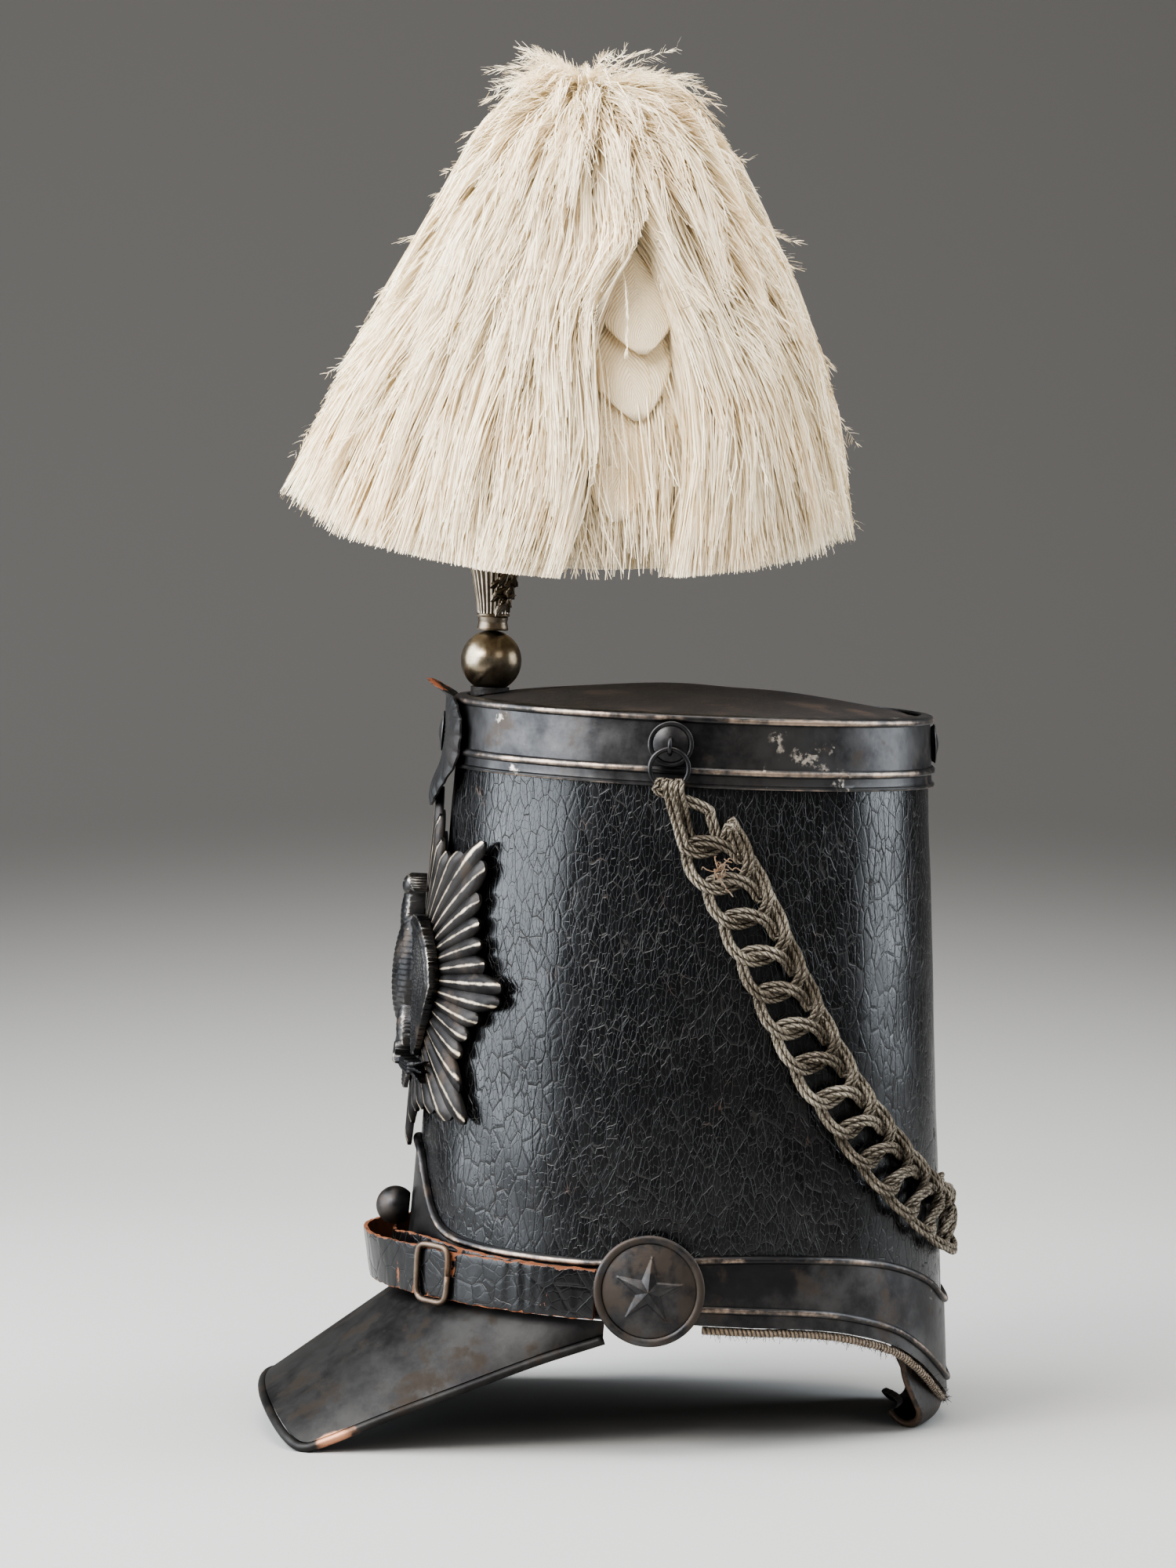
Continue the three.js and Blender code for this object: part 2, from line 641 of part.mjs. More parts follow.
// The ring hangs in the eye, flat to the band.
const ringDrop = EYE.below + EYE.radius - EYE.wire - RING.wire - GAP / 2;
const ringUp = bossUp - ringDrop - RING.radius;
function ring(side) {
  const wire = new THREE.TorusGeometry(RING.radius, RING.wire, 5, 16);
  wire.translate(0, ringUp - bossUp, ringLie);
  return standOnCrown(closed(wire), side * SIDE_FITTING_ANGLE, bossUp, beadClear);
}

for (const [name, side] of [['left', 1], ['right', -1]]) {
  addPiece(`rosette_${name}`, rosette(side), FINISH.tarnish);
  addPiece(`side_boss_${name}`, sideBoss(side), FINISH.tarnish);
  addPiece(`ring_${name}`, ring(side), FINISH.tarnish);
}
addPiece('rear_boss', standOnCrown(boss(REAR_BOSS_RADIUS), REAR, bossUp, bandFace + GAP), FINISH.tarnish);

// The ball button is a ball cut flat where it meets the band.
function ballButton() {
  const cut = Math.asin(BALL_BUTTON.stand / BALL_BUTTON.radius);
  const points = [[0, -BALL_BUTTON.stand]];
  for (let i = 0; i <= 7; i += 1) {
    const turn = mix(-cut, 90 * DEG, i / 7);
    points.push([i === 7 ? 0 : BALL_BUTTON.radius * Math.cos(turn), BALL_BUTTON.radius * Math.sin(turn)]);
  }
  const ball = closed(latheSolid(points, 10).rotateX(90 * DEG));
  return standOnCrown(ball, 0, BALL_BUTTON.up, bandFace + 2 * GAP + BALL_BUTTON.stand);
}

addPiece('ball_button', ballButton(), FINISH.tarnish);

// Front plate

// Half of the plate's outline from its top ray round to its foot ray, as shares of its reach.
const PLATE_OUTLINE = [
  { at: 0, value: 1 }, { at: 9, value: 0.86 }, { at: 22, value: 0.81 }, { at: 34, value: 0.95 },
  { at: 42, value: 1.17 }, { at: 48, value: 1.08 }, { at: 56, value: 0.93 }, { at: 68, value: 0.85 },
  { at: 80, value: 0.86 }, { at: 90, value: 1 }, { at: 98, value: 0.87 }, { at: 110, value: 0.8 },
  { at: 122, value: 0.87 }, { at: 132, value: 1.14 }, { at: 138, value: 1.02 }, { at: 148, value: 0.86 },
  { at: 160, value: 0.78 }, { at: 172, value: 0.86 }, { at: 180, value: 1 }, { at: 188, value: 0.86 },
];
const RAY_NOTCH = 0.93;

function sunburstPlate() {
  const columns = SUNBURST.rays * 2;
  const rings = [0.0, 0.5, 1];
  const frontRings = [1, 0.75, 0.4, 0];
  const back = rings.map((share) => new THREE.Vector2(share, 0));
  const front = frontRings.map((share) => new THREE.Vector2(share, 1));
  return reshape(new THREE.LatheGeometry([...back, ...front], columns), (vertex) => {
    const share = Math.hypot(vertex.x, vertex.z);
    const turn = Math.atan2(vertex.x, vertex.z);
    const step = Math.round((turn * columns) / (2 * Math.PI));
    const isRidge = step % 2 === 0;
    const edge = plateReach * readTable(PLATE_OUTLINE, turnDegrees(turn)) * (isRidge ? 1 : RAY_NOTCH);
    const raised = vertex.y * (SUNBURST.sheet + (isRidge ? SUNBURST.ridge * Math.min(1, share * 3) : 0));
    const flat = new THREE.Vector3(Math.sin(turn) * share * edge, Math.cos(turn) * share * edge, raised);
    return wrapFront(flat, plateUp, SUNBURST.standOff);
  });
}

// The eagle is built flat, facing +z with its head up, then wrapped over the plate.

// Half of a drooping wing: its inner and outer edge across, from the shoulder to the tip,
// as shares of the eagle's half span, and its thickness as a share of the bulge.
const WING = [
  { down: 0, inner: 0.22, outer: 0.52, thick: 0.35 }, { down: 0.14, inner: 0.12, outer: 0.8, thick: 0.6 },
  { down: 0.3, inner: 0.1, outer: 1, thick: 0.6 }, { down: 0.5, inner: 0.2, outer: 0.98, thick: 0.48 },
  { down: 0.72, inner: 0.4, outer: 0.86, thick: 0.4 }, { down: 0.9, inner: 0.52, outer: 0.72, thick: 0.3 },
  { down: 1, inner: 0.58, outer: 0.62, thick: 0.25 },
];
const WING_TOP = 0.28;
const WING_LENGTH = 0.6;

function wing(side) {
  const rows = WING.length - 1;
  const columns = 4;
  return reshape(new THREE.BoxGeometry(1, 1, 1, columns, rows, 1), (vertex) => {
    const row = WING[Math.round((0.5 - vertex.y) * rows)];
    const across = vertex.x + 0.5;
    const column = Math.round(across * columns);
    const arch = 1 - 0.5 * (2 * across - 1) ** 2 - (column % 2 === 1 ? 0 : 0.16);
    const halfSpan = EAGLE.span / 2;
    return new THREE.Vector3(
      side * halfSpan * mix(row.inner, row.outer, across),
      EAGLE.height * (WING_TOP - row.down * WING_LENGTH),
      vertex.z > 0 ? EAGLE.bulge * row.thick * arch : -EAGLE.lift * 0.2,
    );
  });
}

// A round of the figure: an egg given by its centre, half sizes and tilt, as shares of the height.
function egg({ x, y, z, wide, tall, deep, tilt }, around) {
  const unit = EAGLE.height;
  return closed(new THREE.SphereGeometry(1, around, 4)
    .scale(wide * unit, tall * unit, deep * unit)
    .rotateZ(tilt)
    .translate(x * unit, y * unit, z * unit));
}

const EAGLE_ROUNDS = [
  { x: 0, y: 0.04, z: 0.02, wide: 0.13, tall: 0.3, deep: 0.1, tilt: 0 },
  { x: 0, y: 0.34, z: 0.045, wide: 0.065, tall: 0.15, deep: 0.055, tilt: -0.12 },
  { x: 0.02, y: 0.44, z: 0.055, wide: 0.062, tall: 0.055, deep: 0.05, tilt: 0 },
  { x: 0.085, y: 0.43, z: 0.05, wide: 0.05, tall: 0.02, deep: 0.024, tilt: -0.5 },
  { x: -0.1, y: -0.22, z: 0.04, wide: 0.05, tall: 0.13, deep: 0.045, tilt: -0.3 },
  { x: 0.1, y: -0.22, z: 0.04, wide: 0.05, tall: 0.13, deep: 0.045, tilt: 0.3 },
  { x: 0, y: -0.3, z: 0.02, wide: 0.1, tall: 0.19, deep: 0.03, tilt: 0 },
  { x: 0, y: -0.36, z: 0.06, wide: 0.3, tall: 0.028, deep: 0.035, tilt: 0.12 },
];

function eagle() {
  const flat = fuse([wing(1), wing(-1), ...EAGLE_ROUNDS.map((round) => egg(round, 6))]);
  const standOff = SUNBURST.standOff + SUNBURST.sheet + SUNBURST.ridge + EAGLE.lift;
  const floor = -EAGLE.lift * 0.3;
  return reshape(flat, (vertex) => {
    vertex.z = Math.max(vertex.z, floor);
    return wrapFront(vertex, plateUp, standOff);
  });
}

addPiece('sunburst_plate', sunburstPlate(), FINISH.tarnish);
addPiece('eagle', eagle(), FINISH.tarnish);

// Cockade

// A pleated disc of leather on the front of the top band; its top edge curls off the hat.
function cockade() {
  const columns = COCKADE.flutes * 2;
  const profile = [[0, 0], [0.5, 0], [1, 0], [1, 1], [0.5, 1], [0, 1]];
  const lathe = new THREE.LatheGeometry(profile.map(([x, y]) => new THREE.Vector2(x, y)), columns);
  return reshape(lathe, (vertex) => {
    const share = Math.hypot(vertex.x, vertex.z);
    const turn = Math.atan2(vertex.x, vertex.z);
    const step = Math.round((turn * columns) / (2 * Math.PI));
    const flute = step % 2 === 0 ? COCKADE.flute * share : 0;
    const trim = 1 - COCKADE.topTrim * smooth(clamp01(Math.cos(turn)));
    const radius = COCKADE.radius * share * trim * (step % 2 === 0 ? 1 : 0.965);
    const across = Math.sin(turn) * radius;
    const up = Math.cos(turn) * radius;
    const over = Math.max(0, cockadeUp + up - CROWN.height);
    const curl = COCKADE.curl * smooth(clamp01(over / 8));
    const out = beadClear + 0.2 + flute + curl + (vertex.y > 0.5 ? COCKADE.sheet : 0);
    return wrapFront(new THREE.Vector3(across, up, 0), cockadeUp, out);
  });
}

addPiece('cockade', cockade(), FINISH.wornLeather);
const cockadeFace = beadClear + 0.2 + COCKADE.flute + COCKADE.sheet;
addPiece('cockade_boss', standOnCrown(
  boss(COCKADE_BOSS_RADIUS), 0, cockadeUp, cockadeFace,
), FINISH.tarnish);

// Chain

// The left half of the chain's route: degrees round from the front, and height up the crown.
const CHAIN_ROUTE = [
  { turn: 89, up: 191 }, { turn: 91.5, up: 181 }, { turn: 96, up: 168 }, { turn: 102, up: 151 },
  { turn: 109, up: 128 }, { turn: 118, up: 101 }, { turn: 129, up: 76 }, { turn: 144, up: 52.5 },
  { turn: 161, up: 37 }, { turn: 180, up: 31 },
];
// One stitch of the looped cord, in pitches along and across, and which strand lies over (1) or under (-1).
const STITCH = [
  { along: 0, across: 0, lie: -1 }, { along: -0.32, across: 0.09, lie: 0 },
  { along: -0.61, across: 0.26, lie: 1 }, { along: -0.85, across: 0.51, lie: 1 },
  { along: -0.96, across: 0.82, lie: 0 }, { along: -0.91, across: 1.03, lie: -1 },
  { along: -0.67, across: 1.16, lie: 0 }, { along: -0.3, across: 1.21, lie: 1 },
  { along: 0.04, across: 1.1, lie: 1 }, { along: 0.29, across: 0.89, lie: 0 },
  { along: 0.41, across: 0.6, lie: -1 }, { along: 0.43, across: 0.35, lie: -1 },
  { along: 0.34, across: 0.11, lie: 0 }, { along: 0.09, across: -0.13, lie: 1 },
  { along: -0.29, across: -0.26, lie: 0 }, { along: -0.67, across: -0.26, lie: -1 },
  { along: -0.9, across: -0.23, lie: -1 },
];
const STITCH_MIDDLE = 0.475;
const CHAIN_STEPS_PER_STITCH = 8;

const chainRoute = (() => {
  const left = CHAIN_ROUTE.map(({ turn, up }) => onCrown(turn * DEG, up, CHAIN.standOff));
  const right = left.slice(0, -1).reverse().map((point) => new THREE.Vector3(-point.x, point.y, point.z));
  return new THREE.CatmullRomCurve3([...left, ...right]);
})();

// A point of the cord: along the route, across it, and off the wall.
function chainPoint(along, across, lift) {
  const share = along / chainRoute.getLength();
  const centre = chainRoute.getPointAt(clamp01(share));
  const tangent = chainRoute.getTangentAt(clamp01(share));
  const oval = ovalAt(centre.z);
  const angle = Math.atan2(centre.x / oval.width, (oval.back - centre.y) / oval.depth);
  const normal = crownNormal(angle, centre.z);
  const side = tangent.clone().cross(normal).normalize();
  const past = along - clamp01(share) * chainRoute.getLength();
  const onWall = centre.addScaledVector(tangent, past).addScaledVector(side, across);
  const wall = ovalAt(onWall.z);
  const wallAngle = Math.atan2(onWall.x / wall.width, (wall.back - onWall.y) / wall.depth);
  const point = onCrown(wallAngle, onWall.z, CHAIN.standOff + lift);
  return { point, normal: crownNormal(wallAngle, onWall.z), side };
}

// The cord's turn through a ring: it comes up behind the ring's wire and down in front of it.
function ringTurn(side) {
  const steps = 8;
  const reach = RING.wire + CHAIN.cordThickness / 2 + 2 * GAP + 0.4;
  const rows = [];
  for (let i = 0; i <= steps; i += 1) {
    const turn = mix(215, -25, i / steps) * DEG;
    rows.push(new THREE.Vector3(0, ringUp - RING.radius - bossUp + reach * Math.sin(turn),
      ringLie + reach * Math.cos(turn)));
  }
  const curve = new THREE.BufferGeometry().setFromPoints(rows);
  const placed = standOnCrown(curve, side * SIDE_FITTING_ANGLE, bossUp, beadClear).attributes.position;
  return rows.map((row, i) => new THREE.Vector3().fromBufferAttribute(placed, i));
}

function capChain() {
  const length = chainRoute.getLength();
  const stitches = Math.round(length / CHAIN.pitch);
  const pitch = length / stitches;
  const knots = [];
  for (let stitch = 1; stitch < stitches; stitch += 1) {
    STITCH.forEach((row, i) => {
      const isLead = stitch === 1 && i < 6;
      const isPast = stitch === stitches - 1 && i > 8;
      if (isLead || isPast) return;
      knots.push(new THREE.Vector3((stitch + row.along) * pitch,
        (row.across - STITCH_MIDDLE) * pitch, row.lie * CHAIN.float));
    });
  }
  const path = new THREE.CatmullRomCurve3(knots);
  const steps = Math.round((stitches - 1) * CHAIN_STEPS_PER_STITCH);
  const centres = [];
  const normals = [];
  for (let i = 0; i <= steps; i += 1) {
    const knot = path.getPoint(i / steps);
    const { point, normal } = chainPoint(knot.x, knot.y, knot.z);
    centres.push(point);
    normals.push(normal);
  }
  for (const [side, atStart] of [[1, true], [-1, false]]) {
    const turn = ringTurn(side);
    const across = chainPoint(atStart ? 0 : length, 0, 0).side;
    const turnNormals = turn.map((point, i) => {
      const tangent = turn[Math.min(turn.length - 1, i + 1)].clone().sub(turn[Math.max(0, i - 1)]);
      return across.clone().cross(atStart ? tangent : tangent.negate());
    });
    if (atStart) {
      centres.unshift(...turn);
      normals.unshift(...turnNormals);
    } else {
      centres.push(...turn.reverse());
      normals.push(...turnNormals.reverse());
    }
  }
  return sweep(centres, normals, CHAIN.cordWidth / 2, CHAIN.cordThickness / 2, 5);
}

addPiece('cap_chain', capChain(), FINISH.cord);

// Plume

const plumeBack = -(CROWN.topDepth + CROWN.topForward - PLUME_SEAT.inset);
const ballUp = CROWN.height + BEAD + PLUME_BALL.up + PLUME_BALL.radius;
const socketUp = ballUp + PLUME_BALL.radius;

function lidHeight(point) {
  const share = Math.hypot(point.x / CROWN.topWidth, (point.y + CROWN.topForward) / CROWN.topDepth);
  return CROWN.height + LID.dome * (1 - share * share);
}

const ballSphere = (radius) => new THREE.SphereGeometry(radius, 12, 8).rotateX(90 * DEG)
  .translate(0, plumeBack, ballUp);

// A leather washer between the lid and the ball.
function plumeSeat() {
  const washer = reshape(new THREE.CylinderGeometry(PLUME_SEAT.radius, PLUME_SEAT.radius, 1, 14), (vertex) => {
    const point = new THREE.Vector3(vertex.x, plumeBack - vertex.z, 0);
    point.z = vertex.y < 0 ? lidHeight(point) + GAP : ballUp - PLUME_BALL.radius + PLUME_SEAT.cup;
    return point;
  });
  return fromSolid(toSolid(washer).subtract(toSolid(ballSphere(PLUME_BALL.radius + GAP))));
}

// The fluted holder is an open cup with a leaf spray soldered on its back left side.
function plumeSocket() {
  const { height, footRadius, topRadius, neckRadius, wall } = SOCKET;
  const outline = [
    [0, -0.8], [footRadius, -0.8], [footRadius, 0.8], [neckRadius, height * 0.12],
    [footRadius, height * 0.25], [topRadius, height], [topRadius - wall, height],
    [footRadius - wall, height * 0.3], [0, height * 0.3],
  ];
  const columns = SOCKET.flutes * 2;
  const lathe = new THREE.LatheGeometry(outline.map(([x, y]) => new THREE.Vector2(x, y)), columns);
  const cup = reshape(lathe, (vertex) => {
    const turn = Math.atan2(vertex.x, vertex.z);
    const step = Math.round((turn * columns) / (2 * Math.PI));
    const fluted = vertex.y > height * 0.2 && Math.hypot(vertex.x, vertex.z) > footRadius - wall + 0.2;
    const inset = fluted && step % 2 !== 0 ? SOCKET.flute : 0;
    const radius = Math.hypot(vertex.x, vertex.z) - inset;
    return new THREE.Vector3(Math.sin(turn) * radius, plumeBack - Math.cos(turn) * radius, socketUp + vertex.y);
  });
  const leaves = SOCKET_LEAVES.map(({ turn, up, length, lean }) => {
    const leaf = new THREE.SphereGeometry(1, 5, 4).scale(length * 0.32, length / 2, 0.9);
    leaf.rotateZ(lean).rotateX(90 * DEG);
    const radius = mix(footRadius, topRadius, up) + 0.2;
    leaf.translate(0, -radius, 0).rotateZ(turn * DEG);
    return leaf.translate(0, plumeBack, socketUp + up * height);
  });
  const whole = fuse([cup, ...leaves]);
  return fromSolid(toSolid(whole).subtract(toSolid(ballSphere(PLUME_BALL.radius + GAP))));
}

// The feathers' outer form: distance from the axis and height, as shares of the plume's reach
// and height, down its front and its back.
const PLUME_FALL = [
  { up: 1, front: 0, back: 0 }, { up: 0.985, front: 0.13, back: 0.22 },
  { up: 0.88, front: 0.3, back: 0.44 }, { up: 0.68, front: 0.49, back: 0.67 },
  { up: 0.5, front: 0.65, back: 0.81 }, { up: 0.28, front: 0.82, back: 0.93 },
  { up: 0, front: 1, back: 1 },
];
// How far the foot of the plume hangs below its front, as shares of PLUME.sideDrop.
const PLUME_FOOT = [
  { at: -40, value: 0.6 }, { at: 0, value: 0 }, { at: 40, value: 0.6 }, { at: 90, value: 1 },
  { at: 140, value: 0.7 }, { at: 180, value: 0.3 }, { at: 220, value: 0.7 },
];

// A point of the plume's fall: along runs from the head to the foot, inset goes into the feathers.
function plumePoint(turn, along, inset) {
  const row = PLUME_FALL[along];
  const spread = mix(row.front, row.back, 0.5 - 0.5 * Math.cos(turn));
  const foot = PLUME.footUp - PLUME.sideDrop * readTable(PLUME_FOOT, turnDegrees(turn));
  const up = mix(foot, PLUME.topUp, row.up) - inset * row.up;
  const reach = spread * PLUME.depth;
  const inner = reach > 0 ? Math.max(0.05, 1 - inset / reach) : 1;
  return new THREE.Vector3(
    Math.sin(turn) * spread * inner * PLUME.width,
    PLUME.back - Math.cos(turn) * spread * inner * PLUME.depth,
    up,
  );
}

// Locks of feathers stand side by side round the fall; each second one lies deeper and shorter.
function plumeLocks() {
  const last = PLUME_FALL.length - 1;
  const outer = PLUME_FALL.map((row, i) => new THREE.Vector2(i / last, 1));
  const inner = PLUME_FALL.map((row, i) => new THREE.Vector2(i / last, 0)).reverse();
  const columns = PLUME.locks * 2;
  return reshape(new THREE.LatheGeometry([...outer, ...inner], columns), (vertex) => {
    const along = Math.round(Math.hypot(vertex.x, vertex.z) * last);
    const turn = Math.atan2(vertex.x, vertex.z);
    const step = Math.round((turn * columns) / (2 * Math.PI));
    const isParting = step % 2 !== 0;
    const parting = isParting && vertex.y > 0.5 ? PLUME.lockDepth : 0;
    const inset = vertex.y > 0.5 ? parting : PLUME.lockThickness;
    const point = plumePoint(turn, along, inset);
    if (along === last && !isParting) point.z -= PLUME.lockDepth;
    return point;
  });
}

function plume() {
  const stemFoot = new THREE.Vector3(0, plumeBack, socketUp + SOCKET.height * 0.3 + GAP);
  const stemTop = new THREE.Vector3(0, PLUME.back, PLUME.topUp - PLUME.lockThickness / 2);
  const stemMiddle = new THREE.Vector3(0, plumeBack, mix(stemFoot.z, stemTop.z, 0.55));
  const centres = new THREE.CatmullRomCurve3([stemFoot, stemMiddle, stemTop]).getPoints(5);
  const forward = centres.map(() => new THREE.Vector3(1, 0, 0));
  const stem = sweep(centres, forward, PLUME.stemRadius, PLUME.stemRadius, 8);
  const head = new THREE.SphereGeometry(PLUME.headRadius, 8, 5)
    .translate(0, PLUME.back, PLUME.topUp - PLUME.headRadius - PLUME.lockDepth / 2);
  return fuse([stem, head, plumeLocks()]);
}

const plumeSphere = reshape(ballSphere(PLUME_BALL.radius), (vertex) => vertex.clone());
addPiece('plume_seat', plumeSeat(), FINISH.wornLeather);
addPiece('plume_ball', plumeSphere, FINISH.oldSilver);
addPiece('plume_socket', plumeSocket(), FINISH.oldSilver);
addPiece('plume', plume(), FINISH.feather);

hat.updateMatrixWorld(true);
const whole = new THREE.Box3().setFromObject(hat, true);
const middle = whole.getCenter(new THREE.Vector3());
hat.position.set(-middle.x, -middle.y, -floorHeight);

const model = new THREE.Group();
model.add(hat);
export default model;
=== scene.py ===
"""A tall lacquered military shako with metal bands, a rayed plate, a cord chain and a feather plume.

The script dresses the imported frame: it gives each part its fine form and its finish.
Sizes are millimetres on the upright hat; to_row turns such a point into the frame's metres.
"""

from __future__ import annotations

import logging
import math
import random
from dataclasses import dataclass
from enum import Enum
from typing import Callable, Sequence

import bmesh
import bpy
import numpy as np
from mathutils import Matrix, Vector, noise

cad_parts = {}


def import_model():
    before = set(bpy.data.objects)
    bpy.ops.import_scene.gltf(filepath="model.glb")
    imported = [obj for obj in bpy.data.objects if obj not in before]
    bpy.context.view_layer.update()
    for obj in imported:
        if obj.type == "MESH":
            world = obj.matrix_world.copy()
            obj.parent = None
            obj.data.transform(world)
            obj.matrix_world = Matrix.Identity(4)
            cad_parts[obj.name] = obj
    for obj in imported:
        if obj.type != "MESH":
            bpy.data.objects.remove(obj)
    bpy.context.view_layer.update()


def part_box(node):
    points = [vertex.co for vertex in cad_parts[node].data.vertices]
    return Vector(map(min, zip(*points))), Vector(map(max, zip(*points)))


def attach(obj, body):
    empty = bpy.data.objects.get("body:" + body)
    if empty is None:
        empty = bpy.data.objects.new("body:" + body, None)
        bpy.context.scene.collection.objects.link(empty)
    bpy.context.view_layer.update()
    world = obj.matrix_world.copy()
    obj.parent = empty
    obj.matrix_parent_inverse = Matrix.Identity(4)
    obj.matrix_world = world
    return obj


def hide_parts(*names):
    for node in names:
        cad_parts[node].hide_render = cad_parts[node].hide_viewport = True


LOG = logging.getLogger("shako")
MM = 0.001
GAP = 0.3
LEAN_BACK = math.radians(2.6)
HAT_BACK = 25.102
HAT_UP = 48.321
FULL_TURN = 2 * math.pi

Place = Callable[[float, float], Vector]
Amount = Callable[[float, float], float]
Rows = Sequence[tuple[float, float]]


def clamp(value: float, low: float = 0.0, high: float = 1.0) -> float:
    """Keeps a value between two limits."""
    return max(low, min(high, value))


def mix(start: float, end: float, share: float) -> float:
    """Goes a share of the way from start to end."""
    return start + (end - start) * share


def smooth(value: float) -> float:
    """Eases a share from 0 to 1."""
    value = clamp(value)
    return value * value * (3 - 2 * value)


def read_table(rows: Rows, at: float) -> float:
    """Reads a smooth curve through a table.

    Args:
        rows: Pairs of place and value, in rising order of place.
        at: The place to read.

    Returns:
        The value there; the end values hold beyond the ends.
    """
    if at <= rows[0][0]:
        return rows[0][1]
    for i in range(1, len(rows)):
        start, end = rows[i - 1], rows[i]
        if at <= end[0]:
            span = end[0] - start[0]
            share = (at - start[0]) / span
            before = rows[max(0, i - 2)]
            after = rows[min(len(rows) - 1, i + 1)]
            slope_in = (end[1] - before[1]) / max(1e-9, end[0] - before[0])
            slope_out = (after[1] - start[1]) / max(1e-9, after[0] - start[0])
            square, cube = share * share, share**3
            return (
                (2 * cube - 3 * square + 1) * start[1]
                + (cube - 2 * square + share) * slope_in * span
                + (3 * square - 2 * cube) * end[1]
                + (cube - square) * slope_out * span
            )
    return rows[-1][1]


def to_row(point: Vector) -> Vector:
    """Leans a point of the upright hat back and sets it in the frame, in metres."""
    back = point.y * math.cos(LEAN_BACK) + point.z * math.sin(LEAN_BACK) + HAT_BACK
    up = point.z * math.cos(LEAN_BACK) - point.y * math.sin(LEAN_BACK) + HAT_UP
    return Vector((point.x, back, up)) * MM


@dataclass(frozen=True)
class CrownForm:
    """The tapered oval that everything on the hat is placed by.

    Angle 0 is the front, and a quarter turn is the left.
    """

    height: float = 219.0
    foot_depth: float = 100.5
    foot_width: float = 83.0
    top_depth: float = 87.0
    top_width: float = 75.0
    top_forward: float = 2.9
    wall: float = 3.0

    def oval(self, up: float) -> tuple[float, float, float]:
        """Gives half the depth, half the width and the middle's place at a height."""
        share = up / self.height
        return (
            mix(self.foot_depth, self.top_depth, share),
            mix(self.foot_width, self.top_width, share),
            -self.top_forward * share,
        )

    def normal(self, angle: float, up: float) -> Vector:
        """Gives the level direction that points out of the wall."""
        depth, width, _ = self.oval(up)
        return Vector((math.sin(angle) / width, -math.cos(angle) / depth, 0)).normalized()

    def on(self, angle: float, up: float, out: float = 0.0) -> Vector:
        """Gives a point at a turn, a height and a distance out of the wall."""
        depth, width, back = self.oval(up)
        wall = Vector((width * math.sin(angle), back - depth * math.cos(angle), up))
        return wall + self.normal(angle, up) * out

    def angle_at_arc(self, arc: float, up: float, start: float = 0.0) -> float:
        """Turns a length along the wall, measured from a start angle, into an angle."""
        depth, width, _ = self.oval(up)
        steps = 12
        angle = start
        for _ in range(steps):
            angle += arc / steps / math.hypot(width * math.cos(angle), depth * math.sin(angle))
        return angle

    def wrap_front(self, flat: Vector, centre_up: float, stand_off: float) -> Vector:
        """Bends a flat relief round the front of the crown."""
        up = centre_up + flat.y
        return self.on(self.angle_at_arc(flat.x, up), up, stand_off + flat.z)

    def fitting(self, angle: float, up: float, out: float) -> Matrix:
        """Gives the placement of a fitting whose face looks along its own z, standing on the sloping wall."""
        level = self.normal(angle, up)
        upward = (self.on(angle, up + 1) - self.on(angle, up)).normalized()
        across = upward.cross(level).normalized()
        turned = Matrix((across, upward, across.cross(upward))).transposed().to_4x4()
        return Matrix.Translation(self.on(angle, up, out)) @ turned


CROWN = CrownForm()
BODY = "root"


def as_object(work: bmesh.types.BMesh, name: str, crease: float = 180.0) -> bpy.types.Object:
    """Turns a finished bmesh into an object.

    Args:
        work: The shape, with its place in its vertices; it is freed.
        name: The piece's name.
        crease: The angle in degrees past which an edge is shown sharp.

    Returns:
        The object, linked to the scene.
    """
    for face in work.faces:
        face.smooth = True
    mesh = bpy.data.meshes.new(name)
    work.to_mesh(mesh)
    work.free()
    if crease < 180:
        mesh.set_sharp_from_angle(angle=math.radians(crease))
    made = bpy.data.objects.new(name, mesh)
    bpy.context.scene.collection.objects.link(made)
    return made


def grid_work(columns: int, rows: int, place: Place, wear: Amount | None = None) -> bmesh.types.BMesh:
    """Shapes a grid, and closes it wherever its sides meet.

    Args:
        columns: Faces along the first share.
        rows: Faces along the second share.
        place: Gives the point of the upright hat for two shares from 0 to 1.
        wear: Gives how worn the surface is there, from 0 to 1.

    Returns:
        The shape in the frame's metres.
    """
    work = bmesh.new()
    work.loops.layers.uv.new("UVMap")
    worn = work.verts.layers.float.new("wear")
    bmesh.ops.create_grid(work, x_segments=columns, y_segments=rows, size=1.0, calc_uvs=True)
    for vertex in work.verts:
        across, along = (vertex.co.x + 1) / 2, (vertex.co.y + 1) / 2
        vertex.co = to_row(place(across, along))
        vertex[worn] = wear(across, along) if wear else 0.0
    bmesh.ops.remove_doubles(work, verts=work.verts[:], dist=1e-6)
    bmesh.ops.recalc_face_normals(work, faces=work.faces[:])
    return work


def grid_piece(
    name: str, columns: int, rows: int, place: Place, wear: Amount | None = None, crease: float = 180.0
) -> bpy.types.Object:
    """Makes an object from one shaped grid; the arguments are those of grid_work and as_object."""
    return as_object(grid_work(columns, rows, place, wear), name, crease)


